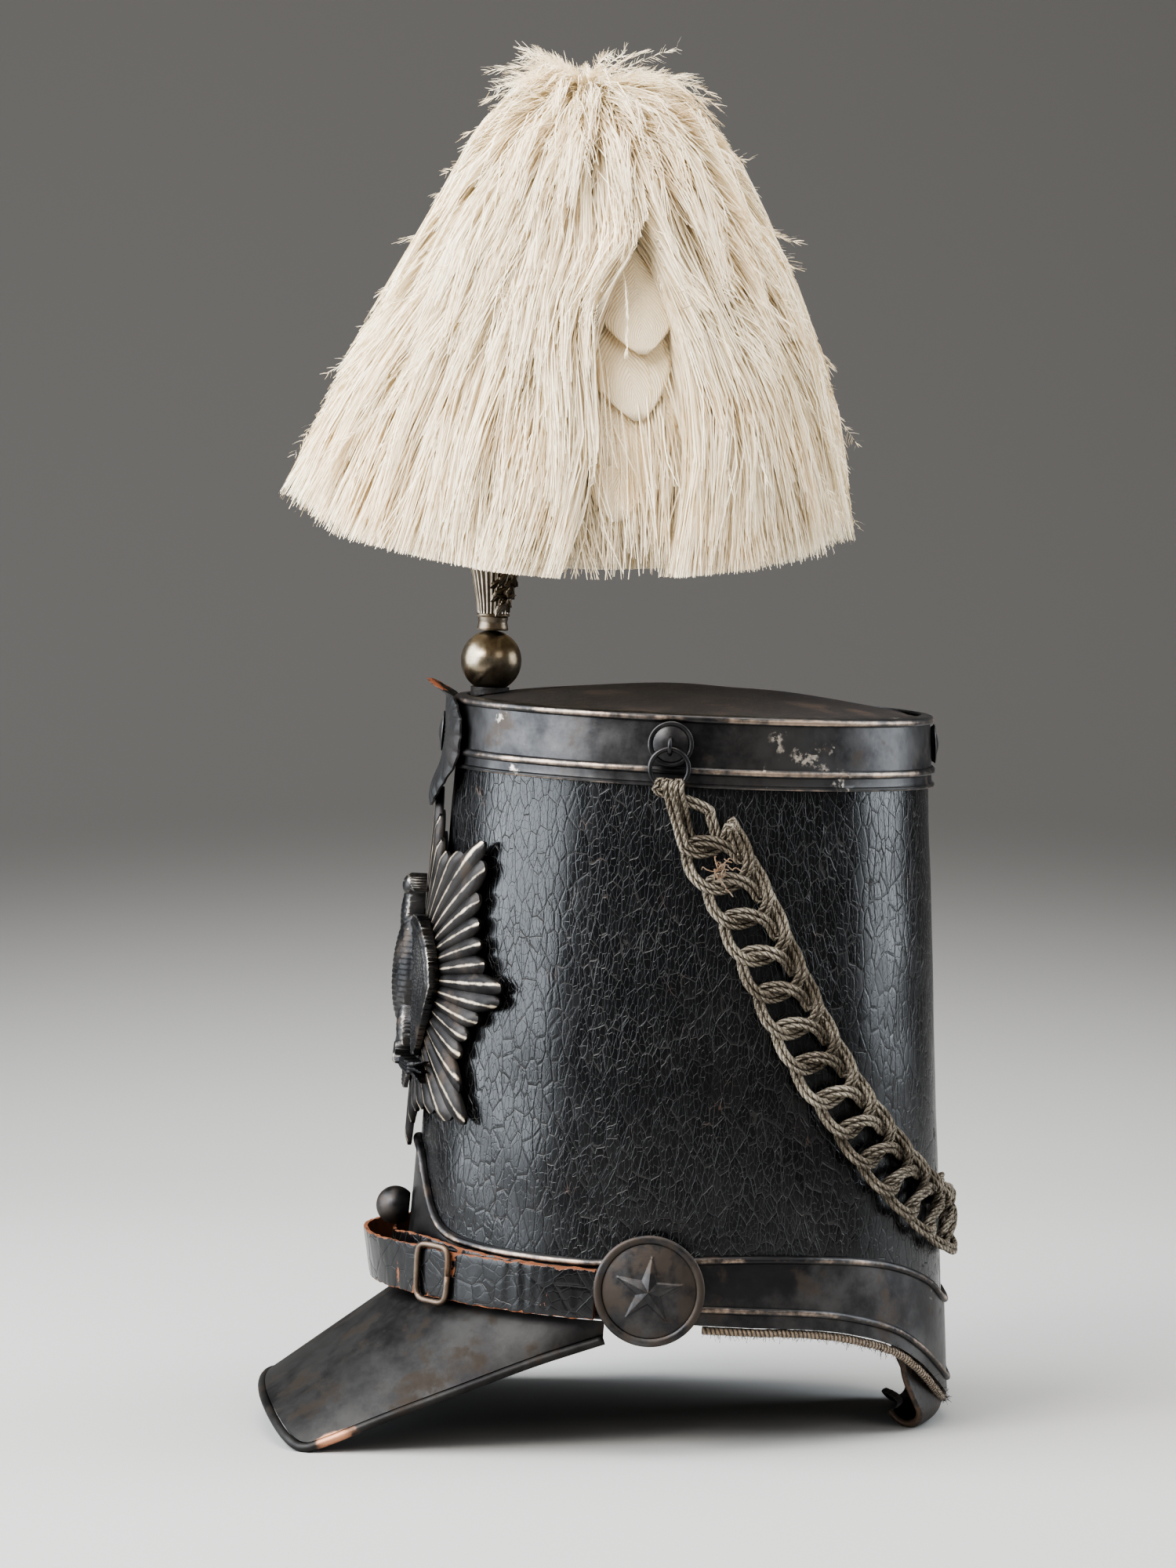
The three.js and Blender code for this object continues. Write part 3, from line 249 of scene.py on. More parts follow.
def section_walk(along: float, half: int) -> tuple[float, float, int]:
    """Walks round the section of a sheet: up one face, over the edge and down the other face.

    Args:
        along: The share of the walk.
        half: Faces up one side; the walk has 2 * half + 4 in all.

    Returns:
        The share of the height, the share of the thickness and the row.
    """
    row = round(along * (2 * half + 4)) % (2 * half + 4)
    if row <= half:
        return row / half, 0.0, row
    if row <= half + 2:
        return 1.0, (row - half) / 2, row
    if row <= 2 * half + 2:
        return 1 - (row - half - 2) / half, 1.0, row
    return 0.0, 0.5, row


def at_turn(radius: float, turn: float, up: float, back: float = 0.0) -> Vector:
    """Gives a point on a level circle whose middle lies on the hat's middle plane; turn 0 is to the front."""
    return Vector((math.sin(turn) * radius, back - math.cos(turn) * radius, up))


def normalised(vectors: np.ndarray) -> np.ndarray:
    """Gives every vector the length 1."""
    return vectors / (np.linalg.norm(vectors, axis=-1, keepdims=True) + 1e-9)


def join_work(parts: Sequence[bmesh.types.BMesh]) -> bmesh.types.BMesh:
    """Puts several shapes in one; the parts are freed."""
    whole = parts[0]
    for part in parts[1:]:
        carrier = bpy.data.meshes.new("carrier")
        part.to_mesh(carrier)
        part.free()
        whole.from_mesh(carrier)
        bpy.data.meshes.remove(carrier)
    return whole


def spline(points: Sequence[Vector], count: int) -> list[Vector]:
    """Gives evenly shared points on a smooth curve through all the given ones."""
    fine: list[Vector] = []
    last = len(points) - 1
    for step in range(count):
        at = step / (count - 1) * last
        i = min(int(at), last - 1)
        share = at - i
        before, start = points[max(0, i - 1)], points[i]
        end, after = points[i + 1], points[min(last, i + 2)]
        fine.append(
            0.5 * (
                2 * start
                + (end - before) * share
                + (2 * before - 5 * start + 4 * end - after) * share**2
                + (3 * start - before - 3 * end + after) * share**3
            )
        )
    return fine


def tube_work(
    centres: Sequence[Vector], normals: Sequence[Vector], sides: int,
    outline: Callable[[float, float], tuple[float, float]], wear: Amount | None = None,
) -> bmesh.types.BMesh:
    """Sweeps an outline along a path.

    Args:
        centres: The path on the upright hat.
        normals: The direction of the outline's second axis at each point.
        sides: Faces round the outline.
        outline: Gives the outline's two offsets for the shares round it and along the path.
        wear: Gives how worn the surface is, from 0 to 1.

    Returns:
        The tube, closed at both ends.
    """
    last = len(centres) - 1
    frames = []
    for i, centre in enumerate(centres):
        tangent = (centres[min(last, i + 1)] - centres[max(0, i - 1)]).normalized()
        side = tangent.cross(normals[i]).normalized()
        frames.append((centre, side, side.cross(tangent)))
    rows = last + 2

    def place(across: float, along: float) -> Vector:
        row = round(along * rows) - 1
        kept = min(last, max(0, row))
        centre, side, normal = frames[kept]
        if row != kept:
            return centre.copy()
        first, second = outline(across, kept / last)
        return centre + side * first + normal * second

    return grid_work(sides, rows, place, wear)


def round_outline(radius: float) -> Callable[[float, float], tuple[float, float]]:
    """Gives a plain round outline for tube_work."""
    return lambda across, _: (radius * math.cos(across * FULL_TURN), radius * math.sin(across * FULL_TURN))


def turned_work(
    profile: Sequence[tuple[float, float]], steps: int, placement: Matrix,
    relief: Callable[[float, float], float] | None = None, wear: Amount | None = None,
) -> bmesh.types.BMesh:
    """Turns a profile round its own z axis and places it on the hat.

    Args:
        profile: Pairs of radius and height, from pole to pole.
        steps: Faces round the axis.
        placement: Where the turned shape stands.
        relief: Gives the height to add for a radius and a turn.
        wear: Gives how worn the surface is for the two shares.

    Returns:
        The closed shape.
    """
    last = len(profile) - 1

    def place(across: float, along: float) -> Vector:
        radius, height = profile[round(along * last)]
        turn = across * FULL_TURN
        if relief:
            height += relief(radius, turn)
        return placement @ Vector((radius * math.sin(turn), radius * math.cos(turn), height))

    return grid_work(steps, last, place, wear)


def show(made: bpy.types.Object, finish: bpy.types.Material, slot: str, *nodes: str) -> None:
    """Dresses a piece and sets it on the frame.

    Args:
        made: The piece.
        finish: Its material.
        slot: The record's material slot that it stands for; it is not used.
        nodes: The solids that it replaces.
    """
    made.data.materials.append(finish)
    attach(made, BODY)
    if nodes:
        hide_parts(*nodes)
    LOG.info("%s: %d faces", made.name, len(made.data.polygons))


def wander(place: Vector, size: float, seed: float = 0.0) -> float:
    """Gives smooth noise from -1 to 1 that changes over the given size."""
    return noise.noise(place / size + Vector((seed, seed * 1.7, -seed)))


class Graph:
    """A short way to place and join shader nodes in one tree."""

    def __init__(self, tree: bpy.types.NodeTree) -> None:
        """Keeps the tree that nodes are added to."""
        self.tree = tree

    def add(self, kind: str, *sources: object, **settings: object) -> bpy.types.Node:
        """Adds a node, sets its own settings and feeds its first sockets in order."""
        made = self.tree.nodes.new(kind)
        for key, value in settings.items():
            setattr(made, key, value)
        for socket, source in zip(made.inputs, sources):
            self.feed(socket, source)
        return made

    def feed(self, socket: bpy.types.NodeSocket, source: object) -> None:
        """Joins a socket to another, or sets its value."""
        if isinstance(source, bpy.types.NodeSocket):
            self.tree.links.new(source, socket)
        else:
            socket.default_value = source

    def fill(self, node: bpy.types.Node, **values: object) -> bpy.types.Node:
        """Feeds sockets by name; an underscore stands for a space."""
        for key, value in values.items():
            self.feed(node.inputs[key.replace("_", " ")], value)
        return node

    def math(self, operation: str, *values: object) -> bpy.types.NodeSocket:
        """Works out a number from one to three others."""
        return self.add("ShaderNodeMath", *values, operation=operation).outputs[0]

    def vector(self, operation: str, *values: object) -> bpy.types.NodeSocket:
        """Works out a vector from two others."""
        return self.add("ShaderNodeVectorMath", *values, operation=operation).outputs[0]

    def stretch(self, place: object, *scales: object) -> bpy.types.NodeSocket:
        """Scales a place by a factor for each axis."""
        return self.vector("MULTIPLY", place, self.add("ShaderNodeCombineXYZ", *scales).outputs[0])

    def attribute(self, name: str) -> bpy.types.NodeSocket:
        """Reads a number that the mesh carries."""
        return self.add("ShaderNodeAttribute", attribute_name=name).outputs["Fac"]

    def noise(
        self, place: object, scale: object, detail: float = 3.0, roughness: float = 0.55, output: str = "Fac"
    ) -> bpy.types.NodeSocket:
        """Gives a noise texture's value."""
        made = self.add("ShaderNodeTexNoise")
        self.fill(made, Vector=place, Scale=scale, Detail=detail, Roughness=roughness)
        return made.outputs[output]

    def cells(
        self, feature: str, place: object, scale: object, output: str = "Distance"
    ) -> bpy.types.NodeSocket:
        """Gives a value of a texture of cells."""
        made = self.add("ShaderNodeTexVoronoi", feature=feature)
        return self.fill(made, Vector=place, Scale=scale).outputs[output]

    def band(self, value: object, low: object, high: object) -> bpy.types.NodeSocket:
        """Maps a value between two limits to 0 and 1, eased."""
        made = self.add("ShaderNodeMapRange", value, low, high, interpolation_type="SMOOTHSTEP")
        return made.outputs["Result"]

    def blend(self, share: object, first: object, second: object) -> bpy.types.NodeSocket:
        """Mixes two colours."""
        made = self.add("ShaderNodeMix", share, data_type="RGBA")
        self.feed(made.inputs[6], first)
        self.feed(made.inputs[7], second)
        return made.outputs[2]

    def bump(
        self, height: object, distance: float, strength: float = 1.0, under: object = None
    ) -> bpy.types.NodeSocket:
        """Adds a bump, over another one where given."""
        made = self.add("ShaderNodeBump")
        self.fill(made, Height=height, Distance=distance, Strength=strength)
        if under is not None:
            self.fill(made, Normal=under)
        return made.outputs["Normal"]

    def use(self, group: bpy.types.NodeTree, **values: object) -> bpy.types.bpy_prop_collection:
        """Places a node group and gives what it puts out."""
        return self.fill(self.add("ShaderNodeGroup", node_tree=group), **values).outputs


class GroupMaker(Graph):
    """A node group that is being made, with its named inputs and outputs."""

    def __init__(self, name: str, inputs: dict[str, float | None], outputs: Sequence[str]) -> None:
        """Makes the group.

        Args:
            name: The group's name.
            inputs: Each input's name with its first value, or None for a place.
            outputs: The names of the values that it puts out.
        """
        super().__init__(bpy.data.node_groups.new(name, "ShaderNodeTree"))
        for key, first in inputs.items():
            kind = "NodeSocketVector" if first is None else "NodeSocketFloat"
            made = self.tree.interface.new_socket(key, in_out="INPUT", socket_type=kind)
            if first is not None:
                made.default_value = first
        for key in outputs:
            self.tree.interface.new_socket(key, in_out="OUTPUT", socket_type="NodeSocketFloat")
        self.given = self.add("NodeGroupInput").outputs
        self.result = self.add("NodeGroupOutput")

    def done(self, **values: object) -> bpy.types.NodeTree:
        """Feeds the group's outputs and gives the group."""
        self.fill(self.result, **values)
        return self.tree


def crackle_group() -> bpy.types.NodeTree:
    """Makes the net of cracks in old lacquer: long plates, each split again, with ragged gaps."""
    made = GroupMaker(
        "Lacquer_crackle",
        {"Place": None, "Plate scale": 210.0, "Upright": 0.45, "Warp": 0.0022, "Gap": 0.05, "Fine": 0.5},
        ("Crack", "Plate", "Height"),
    )
    place, scale = made.given["Place"], made.given["Plate scale"]
    centred = made.vector("SUBTRACT", made.noise(place, 60.0, 4.0, 0.6, "Color"), (0.5, 0.5, 0.5))
    shift = made.add("ShaderNodeVectorMath", centred, operation="SCALE")
    made.fill(shift, Scale=made.given["Warp"])
    stretched = made.stretch(made.vector("ADD", place, shift.outputs[0]), 1.0, 1.0, made.given["Upright"])
    edge = made.cells("DISTANCE_TO_EDGE", stretched, scale)
    small_edge = made.cells("DISTANCE_TO_EDGE", stretched, made.math("MULTIPLY", scale, 2.6))
    cell = made.add("ShaderNodeSeparateColor", made.cells("F1", stretched, scale, "Color"))
    worn = made.math("MULTIPLY_ADD", made.noise(place, 35.0, 2.0), 2.2, -0.35)
    width = made.math("MULTIPLY", made.given["Gap"], worn)
    thin = made.math("MULTIPLY", width, 1.1)
    big_crack = made.math("SUBTRACT", 1.0, made.band(edge, 0.0, width))
    small_crack = made.math("SUBTRACT", 1.0, made.band(small_edge, 0.0, thin))
    crack = made.math("MAXIMUM", big_crack, made.math("MULTIPLY", small_crack, made.given["Fine"]))
    dish, small_dish = made.band(edge, 0.0, 0.13), made.band(small_edge, 0.0, 0.1)
    height = made.math("MULTIPLY_ADD", small_dish, 0.12, made.math("MULTIPLY", dish, 0.4))
    height = made.math("MULTIPLY_ADD", cell.outputs[0], 0.25, height)
    return made.done(Crack=crack, Plate=cell.outputs[0], Height=made.math("SUBTRACT", height, crack))


def patch_group() -> bpy.types.NodeTree:
    """Makes uneven patches with ragged edges, for flaked, stained or rubbed places."""
    made = GroupMaker("Patches", {"Place": None, "Scale": 40.0, "Level": 0.6, "Edge": 0.03}, ("Mask", "Cloud"))
    level = made.given["Level"]
    cloud = made.noise(made.given["Place"], made.given["Scale"], 8.0, 0.62)
    return made.done(Mask=made.band(cloud, level, made.math("ADD", level, made.given["Edge"])), Cloud=cloud)


def edge_wear_group() -> bpy.types.NodeTree:
    """Makes the broken shine on raised edges, from the mesh's wear amount."""
    made = GroupMaker("Edge_wear", {"Place": None, "Scale": 160.0, "Amount": 0.5}, ("Mask",))
    place, worn = made.given["Place"], made.attribute("wear")
    cloud = made.noise(place, made.given["Scale"], 6.0, 0.7)
    uneven = made.math("MULTIPLY_ADD", made.noise(place, 24.0, 3.0), 0.55, made.math("MULTIPLY", cloud, 0.6))
    reach = made.math("ADD", made.math("MULTIPLY", worn, made.given["Amount"]), uneven)
    return made.done(Mask=made.math("MULTIPLY", made.band(reach, 0.92, 1.16), made.math("MINIMUM", worn, 1.0)))


def scratch_group() -> bpy.types.NodeTree:
    """Makes fine hair scratches and pits as a height."""
    made = GroupMaker("Scratches", {"Place": None, "Scale": 900.0, "Run": 0.08}, ("Height",))
    place, scale, run = made.given["Place"], made.given["Scale"], made.given["Run"]
    lines = made.noise(made.stretch(place, run, run, 1.0), scale, 2.0)
    pits = made.noise(place, made.math("MULTIPLY", scale, 0.6), 3.0)
    return made.done(Height=made.math("MULTIPLY_ADD", lines, 0.4, pits))


def twist_group() -> bpy.types.NodeTree:
    """Makes the wound threads of a cord on its own lengthwise map: fat strands, each of fine threads."""
    made = GroupMaker("Twisted_threads", {"Turns": 1.0, "Strands": 4.0, "Threads": 5.0}, ("Strand", "Thread"))
    strands = made.given["Strands"]
    around, length, _ = made.add("ShaderNodeSeparateXYZ", made.add("ShaderNodeTexCoord").outputs["UV"]).outputs
    along = made.math("MULTIPLY", length, made.given["Turns"])
    back = made.math("SUBTRACT", around, made.math("MULTIPLY", along, 3.0))
    phases = (
        made.math("MULTIPLY", made.math("ADD", around, along), strands),
        made.math("MULTIPLY", back, made.math("MULTIPLY", strands, made.given["Threads"])),
    )
    strand, thread = (
        made.math("ABSOLUTE", made.math("SINE", made.math("MULTIPLY", phase, math.pi))) for phase in phases
    )
    return made.done(Strand=strand, Thread=thread)


class Groups:
    """The shared node groups, each made once."""

    def __init__(self) -> None:
        """Makes every group."""
        self.crackle = crackle_group()
        self.patches = patch_group()
        self.edge_wear = edge_wear_group()
        self.scratches = scratch_group()
        self.twist = twist_group()


Colour = tuple[float, float, float, float]


class MaterialMaker(Graph):
    """A material that is being made, with its shader and the place on the piece."""

    def __init__(self, name: str, groups: Groups | None = None) -> None:
        """Makes an empty material; the groups are those that it may use."""
        self.material = bpy.data.materials.new(name)
        self.material.use_nodes = True
        super().__init__(self.material.node_tree)
        self.groups = groups
        self.shader = self.tree.nodes["Principled BSDF"]
        self.place = self.add("ShaderNodeTexCoord").outputs["Object"]

    def patches(self, scale: float, level: float, edge: float) -> bpy.types.bpy_prop_collection:
        """Lays uneven patches on the piece."""
        return self.use(self.groups.patches, Place=self.place, Scale=scale, Level=level, Edge=edge)

    def done(self, **values: object) -> bpy.types.Material:
        """Feeds the shader and gives the material."""
        self.fill(self.shader, **values)
        return self.material


@dataclass(frozen=True)
class LacquerFinish:
    """Black lacquer on leather, crackled into plates, with flakes fallen off down to the tan leather."""

    name: str
    plate_scale: float = 265.0
    upright: float = 0.4
    gap: float = 0.032
    fine: float = 0.4
    flake_level: float = 0.7
    flake_scale: float = 32.0
    depth: float = 0.0001
    raw_edge: float = 0.0
    black: Colour = (0.0022, 0.0022, 0.0027, 1)
    crack: Colour = (0.008, 0.006, 0.0045, 1)
    tan: Colour = (0.15, 0.07, 0.036, 1)

    def material(self, groups: Groups) -> bpy.types.Material:
        """Builds the material."""
        made = MaterialMaker(self.name, groups)
        net = made.use(
            groups.crackle, Place=made.place, Plate_scale=self.plate_scale, Upright=self.upright,
            Gap=self.gap, Fine=self.fine,
        )
        flakes = made.patches(self.flake_scale, self.flake_level, 0.012)
        crack_dirt = made.patches(60.0, 0.6, 0.12)
        worn = made.math("MULTIPLY", made.attribute("wear"), self.raw_edge)
        edge_cloud = made.math("MULTIPLY", made.noise(made.place, 260.0, 5.0, 0.7), 0.9)
        raw = made.band(made.math("ADD", worn, edge_cloud), 0.92, 1.02)
        bare = made.math("MAXIMUM", flakes["Mask"], raw)
        deep_tan = (self.tan[0] * 0.35, self.tan[1] * 0.35, self.tan[2] * 0.4, 1)
        tan = made.blend(made.noise(made.place, 140.0, 5.0, 0.7), deep_tan, self.tan)
        in_crack = made.blend(crack_dirt["Mask"], self.crack, tan)
        colour = made.blend(net["Crack"], self.black, in_crack)
        smear = made.math("MULTIPLY", made.noise(made.place, 22.0, 4.0), 0.2)
        gloss = made.math("ADD", made.math("MULTIPLY_ADD", net["Plate"], 0.1, 0.08), smear)
        rough = made.math("MAXIMUM", gloss, made.math("MULTIPLY", net["Crack"], 0.8))
        grain = made.bump(made.noise(made.place, 2400.0, 2.0), 0.00003, 0.2)
        sunk = made.math("SUBTRACT", net["Height"], made.math("MULTIPLY", bare, 0.8))
        return made.done(
            Base_Color=made.blend(bare, colour, tan),
            Roughness=made.math("MAXIMUM", rough, made.math("MULTIPLY", bare, 0.85)),
            Specular_IOR_Level=0.45,
            Normal=made.bump(sunk, self.depth, 1.0, grain),
        )


@dataclass(frozen=True)
class LeatherFinish:
    """Dull old leather with grain, scuffs and a paler raw edge."""

    name: str
    dark: Colour = (0.012, 0.008, 0.006, 1)
    scuffed: Colour = (0.055, 0.032, 0.02, 1)
    raw: Colour = (0.2, 0.065, 0.03, 1)
    roughness: float = 0.55
    scuff_level: float = 0.52
    grain_scale: float = 900.0
    grain_depth: float = 0.00022

    def material(self, groups: Groups) -> bpy.types.Material:
        """Builds the material."""
        made = MaterialMaker(self.name, groups)
        scuffs = made.patches(45.0, self.scuff_level, 0.16)
        fine_scuffs = made.patches(260.0, 0.56, 0.1)
        both = made.math("MULTIPLY", scuffs["Mask"], fine_scuffs["Cloud"])
        both = made.math("MAXIMUM", both, made.math("MULTIPLY", fine_scuffs["Mask"], 0.25))
        edge_cloud = made.noise(made.place, 320.0, 5.0, 0.7)
        raw = made.band(made.math("MULTIPLY_ADD", made.attribute("wear"), 0.6, edge_cloud), 0.85, 1.1)
        pebbles = made.cells("SMOOTH_F1", made.place, self.grain_scale)
        creases = made.bump(made.noise(made.place, 180.0, 6.0, 0.65), 0.0009, 0.5)
        return made.done(
            Base_Color=made.blend(raw, made.blend(both, self.dark, self.scuffed), self.raw),
            Roughness=made.math("MULTIPLY_ADD", scuffs["Cloud"], 0.35, self.roughness - 0.18),
            Specular_IOR_Level=0.4,
            Normal=made.bump(pebbles, self.grain_depth, 0.6, creases),
        )


@dataclass(frozen=True)
class MetalFinish:
    """Old silver plate: dark tarnish, clouds of brown, rubbed bright places and worn edges."""

    name: str
    dark: Colour = (0.031, 0.030, 0.031, 1)
    grey: Colour = (0.084, 0.081, 0.080, 1)
    brown: Colour = (0.075, 0.060, 0.050, 1)
    bright: Colour = (0.56, 0.5, 0.43, 1)
    edge: Colour = (0.42, 0.32, 0.25, 1)
    brown_level: float = 0.56
    bright_level: float = 0.665
    bright_scale: float = 38.0
    edge_amount: float = 0.45
    roughness: float = 0.3
    dent: float = 0.0006

    def material(self, groups: Groups) -> bpy.types.Material:
        """Builds the material."""
        made = MaterialMaker(self.name, groups)
        cloud = made.noise(made.place, 26.0, 7.0, 0.66)
        base = made.blend(made.band(cloud, 0.38, 0.64), self.dark, self.grey)
        stain = made.patches(62.0, self.brown_level, 0.12)["Mask"]
        base = made.blend(made.math("MULTIPLY", stain, 0.75), base, self.brown)
        rubbed = made.patches(self.bright_scale, self.bright_level, 0.05)["Mask"]
        broken = made.patches(420.0, 0.47, 0.05)["Mask"]
        base = made.blend(made.math("MULTIPLY", rubbed, broken), base, self.bright)
        edge = made.use(groups.edge_wear, Place=made.place, Scale=150.0, Amount=self.edge_amount)
        rough = made.math("MULTIPLY_ADD", cloud, 0.18, self.roughness - 0.08)
        rough = made.math("MULTIPLY_ADD", made.noise(made.place, 210.0, 5.0, 0.7), 0.2, rough)
        dents = made.bump(made.noise(made.place, 34.0, 3.0), self.dent * 4, 0.3)
        lines = made.use(groups.scratches, Place=made.place)
        lift = made.math("MULTIPLY_ADD", stain, 0.5, lines["Height"])
        return made.done(
            Base_Color=made.blend(edge["Mask"], base, self.edge),
            Metallic=1.0,
            Roughness=made.math("MULTIPLY_ADD", stain, 0.14, rough),
            Normal=made.bump(lift, 0.00008, 0.45, dents),
        )


@dataclass(frozen=True)
class CordFinish:
    """A cord wound from metal threads."""

    name: str
    deep: Colour = (0.016, 0.011, 0.007, 1)
    thread: Colour = (0.14, 0.115, 0.085, 1)
    pale: Colour = (0.5, 0.44, 0.35, 1)
    turns: float = 150.0
    strands: float = 3.0
    metallic: float = 0.75

    def material(self, groups: Groups) -> bpy.types.Material:
        """Builds the material."""
        made = MaterialMaker(self.name, groups)
        wound = made.use(groups.twist, Turns=self.turns, Strands=self.strands, Threads=3.0)
        grit = made.noise(made.place, 1500.0, 3.0)
        dusty = made.math("ADD", made.noise(made.place, 55.0, 6.0, 0.7), made.math("MULTIPLY", grit, 0.7))
        body = made.blend(made.band(dusty, 0.72, 1.06), self.thread, self.pale)
        hollow = made.math("MULTIPLY", wound["Thread"], made.band(wound["Strand"], 0.0, 0.5))
        lift = made.math("MULTIPLY_ADD", wound["Thread"], 0.3, wound["Strand"])
        return made.done(
            Base_Color=made.blend(made.band(hollow, 0.05, 0.6), self.deep, body),
            Metallic=self.metallic,
            Roughness=made.math("MULTIPLY_ADD", grit, 0.3, 0.26),
            Normal=made.bump(lift, 0.0006, 0.9),
        )


@dataclass(frozen=True)
class FeatherFinish:
    """Soft cream feather with warmer stems, and with barbs on the broad ones."""

    name: str
    pale: Colour = (1.0, 0.895, 0.69, 1)
    warm: Colour = (0.94, 0.735, 0.46, 1)
    stem: Colour = (0.72, 0.52, 0.34, 1)
    barbs: float = 0.0

    def material(self, groups: Groups) -> bpy.types.Material:
        """Builds the material."""
        made = MaterialMaker(self.name, groups)
        depth = made.math("MULTIPLY", made.patches(32.0, 0.4, 0.32)["Mask"], 0.45)
        colour = made.blend(depth, self.pale, self.warm)
        colour = made.blend(made.attribute("tint"), colour, self.stem)
        if self.barbs:
            flat = made.add("ShaderNodeTexCoord").outputs["UV"]
            across, length, _ = made.add("ShaderNodeSeparateXYZ", flat).outputs
            off = made.math("ABSOLUTE", made.math("SUBTRACT", across, 0.5))
            tangle = made.noise(made.place, 160.0, 4.0, 0.6)
            along = made.math("MULTIPLY_ADD", tangle, 0.05, made.math("MULTIPLY_ADD", off, -0.55, length))
            line = made.math("SINE", made.math("MULTIPLY", along, self.barbs * FULL_TURN))
            colour = made.blend(made.band(line, -1.0, 0.4), self.warm, colour)
            made.fill(made.shader, Normal=made.bump(line, 0.00025, 0.6))
        return made.done(
            Base_Color=colour, Roughness=0.75, Specular_IOR_Level=0.25, Sheen_Weight=0.35, Sheen_Roughness=0.4
        )


@dataclass(frozen=True)
class ClothFinish:
    """Frayed woven edging, paler on its rib crests and darker in the troughs: partly the cloth's own tan and
    brown, partly painted highlight and painted shade.
    """

    name: str
    dark: Colour = (0.022, 0.014, 0.009, 1)
    pale: Colour = (0.34, 0.25, 0.165, 1)

    def material(self, groups: Groups) -> bpy.types.Material:
        """Builds the material."""
        made = MaterialMaker(self.name, groups)
        strand = made.use(groups.twist, Turns=90.0, Strands=2.0, Threads=3.0)["Strand"]
        cloud = made.patches(120.0, 0.42, 0.2)["Cloud"]
        # The rib crests take the pale colour and the troughs the dark one: partly the threads' own tone, partly
        # a painted highlight and painted shade.
        share = made.math("MULTIPLY", strand, made.math("ADD", cloud, 0.2))
        return made.done(
            Base_Color=made.blend(made.band(share, 0.08, 0.55), self.dark, self.pale),
            Roughness=0.92, Sheen_Weight=0.3, Normal=made.bump(strand, 0.0009, 1.0),
        )


class Finish(Enum):
    """Every finish on the hat."""

    CROWN = LacquerFinish("Tube_lacquer")
    STRAP = LacquerFinish(
        "Strap_lacquer", plate_scale=110.0, upright=0.9, gap=0.022, fine=0.1, flake_level=0.66,
        flake_scale=60.0, raw_edge=0.6, tan=(0.26, 0.088, 0.032, 1),
    )
    LID = LeatherFinish(
        "Lid_leather", roughness=0.62, dark=(0.011, 0.0085, 0.0075, 1), scuffed=(0.06, 0.036, 0.024, 1),
    )
    FLAP = LeatherFinish("Flap_leather", scuffed=(0.04, 0.026, 0.018, 1), raw=(0.075, 0.045, 0.028, 1))
    COCKADE = LeatherFinish(
        "Cockade_leather", dark=(0.005, 0.0045, 0.0045, 1), scuffed=(0.02, 0.015, 0.013, 1),
    )
    BAND = MetalFinish("Band_silver_tarnished", bright_level=0.625)
    VISOR = MetalFinish(
        "Visor_metal", dark=(0.022, 0.021, 0.021, 1), grey=(0.047, 0.045, 0.043, 1),
        brown=(0.047, 0.038, 0.031, 1), edge=(0.5, 0.27, 0.17, 1), brown_level=0.5, bright_level=0.7,
        edge_amount=0.5, roughness=0.47,
    )
    PLATE = MetalFinish(
        "Plate_silver_tarnished", dark=(0.018, 0.017, 0.017, 1), grey=(0.052, 0.048, 0.046, 1),
        edge=(0.66, 0.55, 0.42, 1), edge_amount=0.52, bright_level=0.66, roughness=0.4,
    )
    EAGLE = MetalFinish(
        "Eagle_silver_tarnished", dark=(0.02, 0.02, 0.021, 1), grey=(0.06, 0.057, 0.055, 1),
        edge=(0.45, 0.4, 0.34, 1), edge_amount=0.42, bright_level=0.7, roughness=0.34,
    )
    OLD_SILVER = MetalFinish(
        "Old_silver", dark=(0.09, 0.07, 0.048, 1), grey=(0.2, 0.165, 0.125, 1), brown=(0.12, 0.08, 0.05, 1),
        bright=(0.62, 0.55, 0.45, 1), edge=(0.78, 0.7, 0.58, 1), bright_level=0.6, edge_amount=0.6,
        roughness=0.26,
    )
    BALL = MetalFinish(
        "Ball_old_silver", dark=(0.12, 0.092, 0.06, 1), grey=(0.42, 0.36, 0.27, 1),
        brown=(0.17, 0.1, 0.055, 1), bright=(0.68, 0.6, 0.46, 1), bright_level=0.56, roughness=0.2,
    )
    ROSETTE = MetalFinish(
        "Rosette_silver_tarnished", brown_level=0.44, bright_level=0.72, edge=(0.42, 0.28, 0.18, 1),
        edge_amount=0.36, roughness=0.34,
    )
    BUCKLE = MetalFinish(
        "Buckle_wire", dark=(0.09, 0.062, 0.045, 1), grey=(0.2, 0.155, 0.12, 1),
        brown=(0.13, 0.08, 0.05, 1), edge=(0.5, 0.4, 0.3, 1), edge_amount=0.3, roughness=0.34,
    )
    CORD = CordFinish("Cord_metal_thread")
    THREAD = CordFinish(
        "Loose_thread", deep=(0.12, 0.06, 0.03, 1), thread=(0.5, 0.3, 0.17, 1), turns=1.0, metallic=0.1,
    )
    PIPING = ClothFinish("Piping_cloth")
    FEATHER = FeatherFinish("Feather_cream")
    VANE = FeatherFinish("Feather_broad", barbs=46.0)

    def material(self, groups: Groups) -> bpy.types.Material:
        """Gives the finish's material, made once."""
        kept = bpy.data.materials.get(self.value.name)
        return kept or self.value.material(groups)


